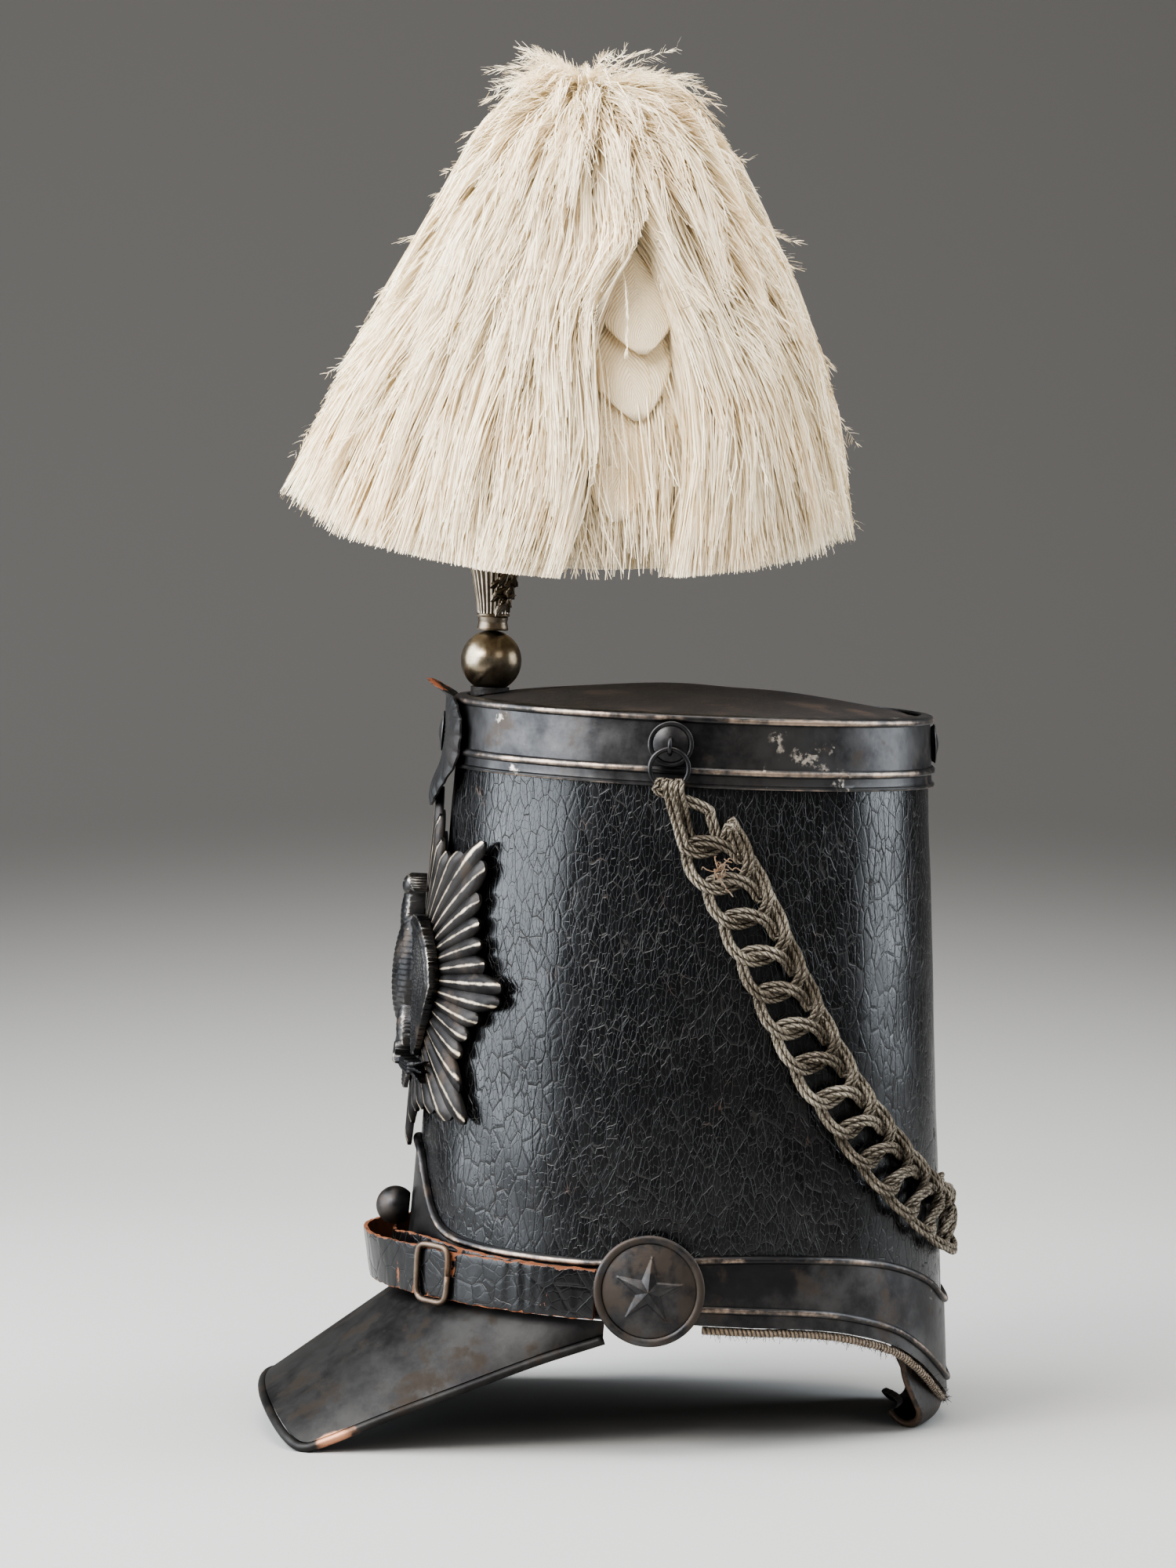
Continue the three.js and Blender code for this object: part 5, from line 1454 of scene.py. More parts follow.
class Relief:
    """A raised figure on a flat grid: each form lifts the grid where it stands higher."""

    def __init__(self, half_width: float, half_height: float, step: float) -> None:
        """Lays the grid out, in millimetres."""
        self.columns = round(2 * half_width / step)
        self.rows = round(2 * half_height / step)
        self.half = (half_width, half_height)
        across = np.linspace(-half_width, half_width, self.columns + 1)
        above = np.linspace(-half_height, half_height, self.rows + 1)
        self.x, self.y = np.meshgrid(across, above)
        self.height = np.full(self.x.shape, -1.0)

    def lift(self, height: np.ndarray, inside: np.ndarray) -> None:
        """Raises the grid to a form's height where the form is."""
        self.height = np.where(inside & (height > self.height), height, self.height)

    def egg(
        self, x: float, y: float, wide: float, tall: float, base: float, deep: float, tilt: float = 0.0,
        scales: float = 0.0,
    ) -> None:
        """Adds a rounded form, with a pattern of small scales where asked."""
        cos, sin = math.cos(tilt), math.sin(tilt)
        u = (self.x - x) * cos + (self.y - y) * sin
        v = (self.y - y) * cos - (self.x - x) * sin
        far = (u / wide) ** 2 + (v / tall) ** 2
        height = base + deep * np.sqrt(np.clip(1 - far, 0, 1))
        if scales:
            row = np.floor(v / 2.1)
            cell_u = (u / 2.3 + 0.5 * (row % 2)) % 1 - 0.5
            cell_v = (v / 2.1) % 1
            height = height + scales * np.sqrt(np.clip(1 - (2 * cell_u) ** 2, 0, 1)) * (1 - cell_v)
        self.lift(height, far < 1)

    def blade(
        self, start: tuple[float, float], end: tuple[float, float], wide: tuple[float, float],
        high: tuple[float, float], barbs: float = 0.0,
    ) -> None:
        """Adds a long rounded form between two points, such as a feather with its stem."""
        run = np.array(end) - np.array(start)
        length = float(np.hypot(*run))
        ahead = run / length
        along = ((self.x - start[0]) * ahead[0] + (self.y - start[1]) * ahead[1]) / length
        off = (self.x - start[0]) * -ahead[1] + (self.y - start[1]) * ahead[0]
        share = np.clip(along, 0, 1)
        half = wide[0] + (wide[1] - wide[0]) * share
        past = (along - share) * length
        far = np.hypot(off, past) / half
        height = high[0] + (high[1] - high[0]) * share + half * 0.42 * np.sqrt(np.clip(1 - far**2, 0, 1))
        if barbs:
            height = height + barbs * np.sin((along * length - np.abs(off) * 1.2) * 4.2)
            height = height + 0.35 * np.exp(-((off / 0.35) ** 2)) - 0.12
        self.lift(height, far < 1)

    def piece(self, name: str, centre_up: float, stand_off: float, foot: float) -> bpy.types.Object:
        """Makes the figure: the grid is cut to the raised part and its edge is taken down to the foot.

        Args:
            name: The piece's name.
            centre_up: The figure's middle on the crown.
            stand_off: How far it stands out of the wall.
            foot: The depth of its back, as a height.

        Returns:
            The closed piece.
        """
        work = bmesh.new()
        worn = work.verts.layers.float.new("wear")
        bmesh.ops.create_grid(work, x_segments=self.columns, y_segments=self.rows, size=1.0)
        heights: dict[bmesh.types.BMVert, float] = {}
        slope = np.hypot(*np.gradient(self.height))
        moved = [np.roll(self.height, shift, axis) for axis in (0, 1) for shift in (3, -3)]
        blurred = sum(moved, self.height) / 5
        for vertex in work.verts:
            column = round((vertex.co.x + 1) / 2 * self.columns)
            row = round((vertex.co.y + 1) / 2 * self.rows)
            heights[vertex] = float(self.height[row, column])
            raised = float(self.height[row, column] - blurred[row, column])
            vertex[worn] = clamp(0.25 + raised * 2.4) if slope[row, column] < 1.5 else 0.3
        empty = [face for face in work.faces if any(heights[vertex] < 0 for vertex in face.verts)]
        bmesh.ops.delete(work, geom=empty, context="FACES")
        for vertex in work.verts:
            vertex.co = (vertex.co.x * self.half[0], vertex.co.y * self.half[1], heights[vertex])
        rim = [edge for edge in work.edges if edge.is_boundary]
        walls = bmesh.ops.extrude_edge_only(work, edges=rim)["geom"]
        for item in walls:
            if isinstance(item, bmesh.types.BMVert):
                item.co.z = foot
        bottom = [edge for edge in work.edges if edge.is_boundary]
        bmesh.ops.holes_fill(work, edges=bottom, sides=0)
        for vertex in work.verts:
            vertex.co = to_row(CROWN.wrap_front(vertex.co.copy(), centre_up, stand_off))
        bmesh.ops.recalc_face_normals(work, faces=work.faces[:])
        return as_object(work, name, crease=65)


@dataclass(frozen=True)
class FrontPlate:
    """The rayed plate and the eagle on it."""

    centre_up: float = 113.5
    reach: float = 62.0
    rays: int = 48
    steps_per_ray: int = 10
    sheet: float = 1.4
    ridge: float = 1.5
    stand_off: float = 3.4
    rounding: float = 0.065
    eagle_height: float = 80.0
    eagle_span: float = 66.0
    eagle_lift: float = 0.7
    eagle_back: float = -0.27

    def sunburst(self) -> bpy.types.Object:
        """Makes the plate with its rounded, fluted rays."""
        columns = self.rays * self.steps_per_ray
        front, back = 40, 3

        def shares(along: float) -> tuple[float, bool]:
            row = round(along * (front + back + 1))
            if row <= back:
                return row / back, False
            return 1 - (row - back - 1) / front, True

        def place(across: float, along: float) -> Vector:
            turn = across * FULL_TURN
            share, is_front = shares(along)
            phase = (across * self.rays) % 1 * 2 - 1
            edge = self.reach * read_table(PLATE_OUTLINE, turn_degrees(turn))
            edge *= 1 - self.rounding * phase * phase
            arch = math.sqrt(max(0.0, 1 - 0.94 * phase * phase))
            end = math.sqrt(max(0.0, 1 - smooth((share - 0.9) / 0.1) ** 2 * 0.9))
            rise = self.ridge * arch * end * min(1.0, share * 3.2)
            height = self.sheet * (0.55 + 0.45 * end) + rise if is_front else 0.0
            flat = Vector((math.sin(turn) * share * edge, math.cos(turn) * share * edge, height))
            return CROWN.wrap_front(flat, self.centre_up, self.stand_off)

        def wear(across: float, along: float) -> float:
            share, is_front = shares(along)
            phase = abs((across * self.rays) % 1 * 2 - 1)
            return 1 - smooth(phase / 0.55) if is_front and share > 0.2 else 0.1

        return grid_piece("sunburst_plate_fine", columns, front + back + 1, place, wear, crease=60)

    def eagle(self) -> bpy.types.Object:
        """Makes the eagle: wings of laid feathers, scaled body, turned head, bundle and tail."""
        unit, half_span = self.eagle_height, self.eagle_span / 2
        figure = Relief(half_span + 1.5, unit * 0.54, 0.34)
        for off, drop in ((-0.055, 0.0), (0.055, 0.0), (-0.02, -0.03), (0.025, -0.035)):
            start, end = (off * 0.5 * unit, -0.2 * unit), (off * 1.5 * unit, (-0.45 + drop) * unit)
            figure.blade(start, end, (2.4, 3.2), (1.6, 0.8), 0.1)
        for side in (-1, 1):
            self.wing(figure, side)
            figure.egg(side * 0.1 * unit, -0.22 * unit, 0.05 * unit, 0.13 * unit, 2.6, 3.8, side * 0.3, 0.2)
            for toe in (-0.02, 0.0, 0.02):
                start = side * (0.115 + toe) * unit, -0.31 * unit
                end = side * (0.13 + toe * 2) * unit, -0.385 * unit
                figure.blade(start, end, (1.1, 0.7), (6.2, 6.6))
        for twist in (-1, 0, 1):
            figure.blade(
                (-0.3 * unit, (-0.325 + twist * 0.016) * unit), (0.3 * unit, (-0.395 - twist * 0.016) * unit),
                (1.5, 1.5), (4.6, 4.6), 0.16,
            )
        for side in (-1, 1):
            for fan in (-0.05, 0.0, 0.05):
                figure.blade(
                    (side * 0.26 * unit, (-0.36 - side * 0.03) * unit),
                    (side * 0.39 * unit, (-0.36 - side * 0.045 + fan) * unit), (1.3, 0.35), (4.2, 2.2),
                )
        figure.egg(0, 0.04 * unit, 0.135 * unit, 0.3 * unit, 1.8, 7.6, 0, 0.34)
        figure.egg(0.0, 0.3 * unit, 0.07 * unit, 0.16 * unit, 3.6, 4.6, -0.1, 0.24)
        figure.egg(0.015 * unit, 0.43 * unit, 0.062 * unit, 0.058 * unit, 4.4, 4.2)
        figure.blade((0.05 * unit, 0.437 * unit), (0.118 * unit, 0.41 * unit), (1.9, 0.5), (6.0, 4.4))
        figure.egg(0.03 * unit, 0.447 * unit, 0.013 * unit, 0.011 * unit, 7.7, 0.9)
        stand_off = self.stand_off + self.sheet + self.ridge + self.eagle_lift
        return figure.piece("eagle_fine", self.centre_up, stand_off, self.eagle_back)

    def wing(self, figure: Relief, side: int) -> None:
        """Adds one drooping wing: long feathers, two rows of short ones over them and the arm."""
        unit, half_span = self.eagle_height, self.eagle_span / 2

        def spot(place: tuple[float, float]) -> tuple[float, float]:
            return side * place[0] * half_span, place[1] * unit

        count = len(WING_ROOTS)
        for i, (root, tip) in enumerate(zip(WING_ROOTS, WING_TIPS)):
            high = 1.2 + 0.16 * i
            figure.blade(spot(root), spot(tip), (2.6, 1.7), (high + 0.6, high - 0.6), 0.1)
        for row, (reach, lift, wide) in enumerate(((0.56, 2.2, 2.5), (0.3, 3.0, 2.3))):
            for i in range(count * 2 - 1):
                low, share = divmod(i / 2, 1)
                low = int(low)
                high = min(count - 1, low + 1)
                root = tuple(mix(*pair, share) for pair in zip(WING_ROOTS[low], WING_ROOTS[high]))
                tip = tuple(mix(*pair, share) for pair in zip(WING_TIPS[low], WING_TIPS[high]))
                end = tuple(mix(*pair, reach) for pair in zip(root, tip))
                end_lift = lift - 0.5 - 0.02 * i * row
                figure.blade(spot(root), spot(end), (wide - 0.5, wide), (lift, end_lift), 0.08)
        for start, end in zip(WING_ROOTS, WING_ROOTS[1:]):
            figure.blade(spot(start), spot(end), (2.9, 2.6), (3.3, 2.9), 0.06)

    def build(self, groups: Groups) -> None:
        """Makes and dresses the plate and the eagle."""
        plate = Finish.PLATE.material(groups)
        show(self.sunburst(), plate, "tarnished_silver", "sunburst_plate")
        show(self.eagle(), Finish.EAGLE.material(groups), "tarnished_silver", "eagle")


@dataclass(frozen=True)
class Cockade:
    """The pleated leather disc at the top front, with its curled upper edge and its boss."""

    radius: float = 28.0
    top_trim: float = 0.3
    sheet: float = 1.6
    pleats: int = 26
    pleat: float = 1.1
    curl: float = 6.0
    from_top: float = 13.0
    over_plate: float = 2.8

    def build(self, groups: Groups) -> None:
        """Makes and dresses the disc and its boss."""
        centre_up = CROWN.height - self.from_top
        columns, half = self.pleats * 10, 26
        rows = 2 * half + 2

        def place(across: float, along: float) -> Vector:
            turn = across * FULL_TURN
            row = round(along * rows)
            is_front = row > half
            share = clamp((row / half) if not is_front else (rows - row) / half)
            fold = abs(math.cos(across * self.pleats * math.pi))
            trim = 1 - self.top_trim * smooth(clamp(math.cos(turn)))
            ragged = 0.5 * wander(Vector((math.sin(turn) * 9, math.cos(turn) * 9, 0)), 1.3, 3.0)
            radius = (self.radius * trim * (0.965 + 0.035 * fold) + ragged * 0.6) * share
            across_mm, up = math.sin(turn) * radius, math.cos(turn) * radius
            over = max(0.0, centre_up + up - CROWN.height)
            curl = self.curl * 1.25 * smooth(clamp(over / 8))
            wave = 0.5 * wander(Vector((across_mm, up, 0)), 8, 2.0) * share
            over_plate = self.over_plate * smooth((-up - 8) / 14)
            out = SHELL.bead_clear + 0.4 + self.pleat * fold * share * 0.8 + curl + abs(wave) + over_plate
            edge = 1 - 0.45 * smooth((share - 0.9) / 0.1) + 0.9 * smooth(over / 6)
            thick = self.sheet * edge if is_front else 0.0
            return CROWN.wrap_front(Vector((across_mm, up, 0)), centre_up, out + thick)

        def wear(across: float, along: float) -> float:
            row = round(along * rows)
            share = clamp((row / half) if row <= half else (rows - row) / half)
            turn = across * FULL_TURN
            top = smooth((math.cos(turn) - 0.72) / 0.12)
            return smooth((share - 0.9) / 0.1) * (0.25 + 0.75 * top)

        made = grid_piece("cockade_leather", columns, rows, place, wear, crease=70)
        show(made, Finish.COCKADE.material(groups), "worn_leather", "cockade")
        seat = CROWN.fitting(0, centre_up, SHELL.bead_clear + 0.4 + self.sheet - 0.5)
        boss = as_object(FITTINGS.boss(FITTINGS.cockade_radius, seat), "cockade_boss_fine", crease=45)
        show(boss, Finish.ROSETTE.material(groups), "tarnished_silver", "cockade_boss")


PLUME_FALL = (
    (1.0, 0.0, 0.0), (0.98, 0.13, 0.21), (0.88, 0.285, 0.405), (0.68, 0.46, 0.61), (0.5, 0.62, 0.76),
    (0.28, 0.81, 0.9), (0.0, 1.0, 0.99),
)
PLUME_FOOT: Rows = (
    (-40, 0.6), (0, 0), (40, 0.6), (90, 1), (140, 0.7), (180, 0.3), (220, 0.7),
)


@dataclass(frozen=True)
class StrandLayer:
    """One layer of hanging feather strands."""

    name: str
    count: int
    start: tuple[float, float]
    end: tuple[float, float]
    inset: tuple[float, float]
    lift: float
    half_width: float
    locks: int
    gather: float = 0.6
    spread: float = 0.1
    round: float = 1.1
    point: float = 0.02
    sink: float = 5.0
    segments: int = 6
    parted: bool = True


class PlumeForm:
    """The fountain's outer form, worked out for many points at once."""

    back = -53.0
    depth = 104.0
    width = 80.0
    top_up = 449.0
    foot_up = 292.0
    side_drop = 25.0
    parting = math.radians(106)
    parting_slant = math.radians(22)
    parting_half = math.radians(12.5)
    parting_from = 0.44
    parting_ease = 0.2
    beside_parting = 0.545

    def __init__(self) -> None:
        """Samples the form's tables finely."""
        last = len(PLUME_FALL) - 1
        self.shares = np.linspace(0, 1, 61)
        rows = [tuple((i / last, row[k]) for i, row in enumerate(PLUME_FALL)) for k in range(3)]
        self.falls = [np.array([read_table(table, share) for share in self.shares]) for table in rows]
        self.turns = np.linspace(0, 180, 61)
        self.feet = np.array([read_table(PLUME_FOOT, turn) for turn in self.turns])

    def parted(self, turn: np.ndarray, share: np.ndarray) -> np.ndarray:
        """Pushes turns aside where the fall parts on the left, and shows what lies under it."""
        line = self.parting + self.parting_slant * (0.85 - share)
        off = (turn - line + math.pi) % FULL_TURN - math.pi
        side = np.where(off[:, -1:] < 0, -1.0, 1.0)
        opening = np.clip((share - self.parting_from) / self.parting_ease, 0, 1)
        half = self.parting_half * opening * opening * (3 - 2 * opening)
        half = half * (1 + 0.2 * np.sin(share * 15 + 2 * side))
        clear = np.maximum(off * side, 0)
        pushed = side * (half + clear * self.beside_parting)
        return np.where((clear < 2.2 * half) & (half > 0), line + pushed, turn)

    def points(self, turn: np.ndarray, share: np.ndarray, out: np.ndarray) -> np.ndarray:
        """Gives points of the form.

        Args:
            turn: The turn round the plume, 0 at the front.
            share: The way down from the top, from 0 to 1.
            out: The distance out of the form in millimetres.

        Returns:
            An array with the three coordinates on the upright hat last.
        """
        height, front, rear = (np.interp(share, self.shares, fall) for fall in self.falls)
        spread = front + (rear - front) * (0.5 - 0.5 * np.cos(turn))
        degrees = np.abs(np.degrees((turn + math.pi) % FULL_TURN - math.pi))
        foot = self.foot_up - self.side_drop * np.interp(degrees, self.turns, self.feet)
        up = foot + (self.top_up - foot) * height + out * height
        side = np.sin(turn) * (spread * self.width + out * np.minimum(1, spread * 3))
        back = self.back - np.cos(turn) * (spread * self.depth + out * np.minimum(1, spread * 3))
        return np.stack([side, back, up], axis=-1)

    def point(self, turn: float, share: float, out: float) -> Vector:
        """Gives one point of the form."""
        return Vector(self.points(np.array(turn), np.array(share), np.array(out)).tolist())


def rows_of(points: np.ndarray) -> np.ndarray:
    """Does what to_row does for an array of points."""
    cos, sin = math.cos(LEAN_BACK), math.sin(LEAN_BACK)
    side, back, up = points[..., 0], points[..., 1], points[..., 2]
    placed = np.stack([side, back * cos + up * sin + HAT_BACK, up * cos - back * sin + HAT_UP], axis=-1)
    return placed * MM


def ribbons(name: str, centres: np.ndarray, sides: np.ndarray, tint: np.ndarray) -> bpy.types.Object:
    """Makes one piece of many narrow ribbons.

    Args:
        name: The piece's name.
        centres: Points along each ribbon, in metres: ribbon, step, coordinate.
        sides: Half of each ribbon's width as a vector, in the same order.
        tint: How warm each ribbon is, from 0 to 1.

    Returns:
        The piece.
    """
    count, steps = centres.shape[0], centres.shape[1] - 1
    work = bmesh.new()
    bmesh.ops.create_grid(work, x_segments=2 * count - 1, y_segments=steps, size=1.0)
    work.verts.layers.float.new("tint")
    spare = []
    for face in work.faces:
        middle = (face.calc_center_median().x + 1) / 2 * (2 * count - 1)
        if int(middle) % 2:
            spare.append(face)
    bmesh.ops.delete(work, geom=spare, context="FACES")
    made = as_object(work, name)
    grid = np.empty(len(made.data.vertices) * 3, np.float32)
    made.data.vertices.foreach_get("co", grid)
    grid = grid.reshape(-1, 3).astype(float)
    column = np.rint((grid[:, 0] + 1) / 2 * (2 * count - 1)).astype(int)
    row = np.rint((grid[:, 1] + 1) / 2 * steps).astype(int)
    which = column // 2
    sign = np.where(column % 2, 1.0, -1.0)[:, None]
    placed = centres[which, row] + sides[which, row] * sign
    made.data.vertices.foreach_set("co", placed.astype(np.float32).ravel())
    made.data.attributes["tint"].data.foreach_set("value", tint[which].astype(np.float32))
    made.data.update()
    return made


@dataclass(frozen=True)
class Plume:
    """The drooping fountain: a core, layers of strands, broad inner feathers and loose wisps."""

    seed: int = 11
    layers: tuple[StrandLayer, ...] = (
        StrandLayer(
            "plume_inner", 7000, (0.4, 0.75), (0.9, 1.01), (-17, -10), 2.0, 0.42, 260, 0.5, parted=False,
        ),
        StrandLayer(
            "plume_under", 15000, (0.12, 0.62), (0.975, 1.02), (-13, -4), 1.5, 0.42, 420, 0.4, point=0.004,
        ),
        StrandLayer(
            "plume_middle", 16000, (0.05, 0.5), (0.66, 0.99), (-8, -2), 4.8, 0.38, 360, 0.8, point=0.026,
        ),
        StrandLayer(
            "plume_over", 16000, (0.015, 0.2), (0.34, 0.78), (-5, -0.5), 6.6, 0.36, 320, 0.84, point=0.03,
        ),
        StrandLayer(
            "plume_crest", 7000, (0.0, 0.06), (0.18, 0.44), (-3, 0), 5.6, 0.34, 130, 0.8, sink=0.5,
        ),
    )
    wisps: int = 200
    wisp_barbs: int = 74

    def strands(self, form: PlumeForm, layer: StrandLayer, rng: np.random.Generator) -> bpy.types.Object:
        """Makes one layer, its strands gathered to the points of its locks."""
        lock_turn = rng.uniform(0, FULL_TURN, layer.locks)
        lock_end = rng.uniform(*layer.end, layer.locks)
        lock_start = rng.uniform(*layer.start, layer.locks)
        lock_out = rng.uniform(*layer.inset, layer.locks)
        lock_lift = rng.gamma(2.0, 0.5, layer.locks) * layer.lift
        lock_bend = rng.normal(0, 0.085, layer.locks)
        which = rng.integers(0, layer.locks, layer.count)

        def stray(spread: float) -> np.ndarray:
            return rng.normal(0, spread, layer.count)[:, None]

        along = np.linspace(0, 1, layer.segments + 1)[None, :]
        start = (lock_start[which, None] + stray(0.03)).clip(0.0, 0.7)
        beside = rng.normal(0, 1, layer.count)
        end = lock_end[which] + rng.normal(0, 0.02, layer.count) - layer.point * np.abs(beside)
        end = end.clip(0.1, 1.02)[:, None]
        share = start + (end - start) * along
        spread = layer.spread * (0.7 + 0.9 * (1 - start))
        off = beside[:, None] * spread
        gathered = 1 - layer.gather * along**1.6
        turn = lock_turn[which, None] + off * gathered + lock_bend[which, None] * along**2
        turn = turn + stray(0.012) * along**3
        ripple = rng.uniform(0, FULL_TURN, layer.count)[:, None]
        turn = turn + 0.022 * along * np.sin(ripple + along * rng.uniform(3, 8, layer.count)[:, None])
        if layer.parted:
            turn = form.parted(turn, share)
        out = lock_out[which, None] + stray(0.8)
        out = out + layer.round * (0.8 - np.minimum(beside * beside, 3.5))[:, None]
        loose = np.where(rng.random(layer.count) < 0.1, rng.uniform(2, 9, layer.count), 0.0)[:, None]
        out = out + loose * along**2
        out = out + lock_lift[which, None] * along**3 + stray(0.8) * along**2
        out = out + 0.9 * along * np.sin(1.7 * ripple + along * 5) - layer.sink * (1 - along) ** 2
        out = np.minimum(out, 9.0 - 4.5 * share)
        centres = rows_of(form.points(turn, share, out))
        outward = normalised(rows_of(form.points(turn, share, out + 1)) - centres)
        side = normalised(np.cross(normalised(np.gradient(centres, axis=1)), outward))
        roll = rng.uniform(-1.1, 1.1, layer.count)[:, None, None]
        side = side * np.cos(roll) + outward * np.sin(roll)
        taper = np.minimum(1, 0.45 + along * 2) * (1 - 0.72 * along**2.5)
        sides = side * (taper * layer.half_width * MM)[..., None]
        return ribbons(layer.name, centres, sides, rng.beta(1.2, 9, layer.count))

    def loose_wisps(self, form: PlumeForm, rng: np.random.Generator) -> bpy.types.Object:
        """Makes the wisps that stand off the fall, each a stem with fine barbs along it."""
        steps = 24
        along = np.linspace(0, 1, steps)
        stems, tilts = [], []
        for i in range(self.wisps):
            crest = i < self.wisps // 3
            start = rng.uniform(0.0, 0.05) if crest else rng.uniform(0.12, 0.8)
            length = rng.uniform(0.16, 0.3) if crest else rng.uniform(0.1, 0.2)
            turn = rng.uniform(0, FULL_TURN)
            if crest and i % 3 == 0:
                turn = rng.normal(0.15, 0.45)
            lift = (rng.uniform(8, 18) if crest else rng.uniform(6, 13)) * along**1.7
            turns = turn + rng.normal(0, 0.09) * along**2
            points = form.points(turns, start + length * along, lift - 1)
            if crest:
                points[:, 2] += rng.uniform(0, 5) * np.sin(along * math.pi * 0.8)
            stems.append(points)
            tilts.append(rng.uniform(0.5, 0.9))
        centres, sides, tint = [], [], []
        for points, tilt in zip(stems, tilts):
            placed = rows_of(points)
            tangent = normalised(np.gradient(placed, axis=0))
            at = rng.uniform(0.08, 1, self.wisp_barbs) * (steps - 1)
            low = np.minimum(at.astype(int), steps - 2)
            part = (at - low)[:, None]
            root = placed[low] * (1 - part) + placed[low + 1] * part
            ahead = tangent[low]
            cross = normalised(np.cross(ahead, rng.normal(0, 1, (self.wisp_barbs, 3))))
            reach = rng.uniform(1.4, 3.4, self.wisp_barbs)[:, None] * MM
            tip = root + (ahead * tilt + cross * (1 - tilt) * 1.3) * reach * 2
            middle = (root + tip) / 2 + cross * reach * 0.12
            centres.append(np.stack([root, middle, tip], axis=1))
            thin = np.cross(ahead, cross) * 0.00011
            sides.append(np.stack([thin, thin, thin * 0.3], axis=1))
            tint.append(rng.beta(1.2, 12, self.wisp_barbs))
            for k in range(0, steps - 2, 2):
                centres.append(placed[k:k + 3][None])
                flat = np.cross(tangent[k], (0.3, 0.5, 0.8)) * 0.00022 * (1 - 0.6 * k / steps)
                sides.append(np.repeat(flat[None, None], 3, axis=1))
                tint.append(np.array([0.22]))
        return ribbons("plume_wisps", np.concatenate(centres), np.concatenate(sides), np.concatenate(tint))

    def core(self, form: PlumeForm) -> bpy.types.Object:
        """Makes the dense inside, seen only between the strands and from below."""
        columns, rows = 96, 40

        def place(across: float, along: float) -> Vector:
            folded = along * 2 if along <= 0.5 else 2 - along * 2
            deep = -9.0 + 5 * smooth(1 - folded * 8) if along <= 0.5 else -13.0
            share = 0.015 + 0.915 * folded
            turn = across * FULL_TURN
            ridge = 1.6 * math.sin(turn * 34 + 3 * math.sin(turn * 5)) * folded
            off = abs(turn - form.parting)
            sunk = 9.0 * smooth(1.6 - off / form.parting_half) * smooth((folded - 0.35) / 0.15)
            return form.point(turn, share, deep + ridge - sunk)

        return grid_piece("plume_core", columns, 2 * rows, place)

    def vane(
        self, form: PlumeForm, turn: float, start: float, end: float, half: float, out: float, lean: float
    ) -> bmesh.types.BMesh:
        """Makes one broad inner feather as a curved leaf."""

        def place(across: float, along: float) -> Vector:
            off = across * 2 - 1
            share = mix(start, end, along)
            leaf = math.sin(math.pi * min(1.0, along * 0.94 + 0.05) ** 1.4) ** 0.8
            wide = half * leaf * off / (0.25 + share) / 52
            curl = out - 2.2 * off * off * leaf + 3.0 * along * along
            return form.point(turn + wide + lean * along * along, share, curl)

        return grid_work(16, 26, place)

    def inner_feathers(self, form: PlumeForm) -> bpy.types.Object:
        """Makes the broad feathers that show in the parting."""
        parts = [
            self.vane(form, form.parting + turn, start, end, half, out, lean)
            for turn, start, end, half, out, lean in (
                (0.1, 0.36, 0.7, 13, -8, -0.03), (-0.03, 0.4, 0.8, 15, -11, 0.06),
                (0.0, 0.55, 0.93, 16, -12, -0.08), (-0.16, 0.5, 0.86, 13, -13, 0.05),
                (0.16, 0.55, 0.9, 12, -15, 0.02),
            )
        ]
        made = as_object(join_work(parts), "plume_vanes")
        made.modifiers.new("Thickness", "SOLIDIFY").thickness = 0.0004
        return made

    def build(self, groups: Groups) -> None:
        """Makes and dresses the plume."""
        form = PlumeForm()
        rng = np.random.default_rng(self.seed)
        feather = Finish.FEATHER.material(groups)
        show(self.core(form), feather, "feathers", "plume")
        show(self.inner_feathers(form), Finish.VANE.material(groups), "feathers", "plume")
        for layer in self.layers:
            show(self.strands(form, layer, rng), feather, "feathers", "plume")
        show(self.loose_wisps(form, rng), feather, "feathers", "plume")


CHAIN_ROUTE = (
    (89, 191), (91.5, 181), (96, 168), (102, 151), (109, 128), (118, 101), (129, 76), (144, 52.5), (161, 37),
    (180, 31),
)
STITCH = (
    (0, 0, -1), (-0.32, 0.09, 0), (-0.61, 0.26, 1), (-0.85, 0.51, 1), (-0.96, 0.82, 0), (-0.91, 1.03, -1),
    (-0.67, 1.16, 0), (-0.3, 1.21, 1), (0.04, 1.1, 1), (0.29, 0.89, 0), (0.41, 0.6, -1), (0.43, 0.35, -1),
    (0.34, 0.11, 0), (0.09, -0.13, 1), (-0.29, -0.26, 0), (-0.67, -0.26, -1), (-0.9, -0.23, -1),
)


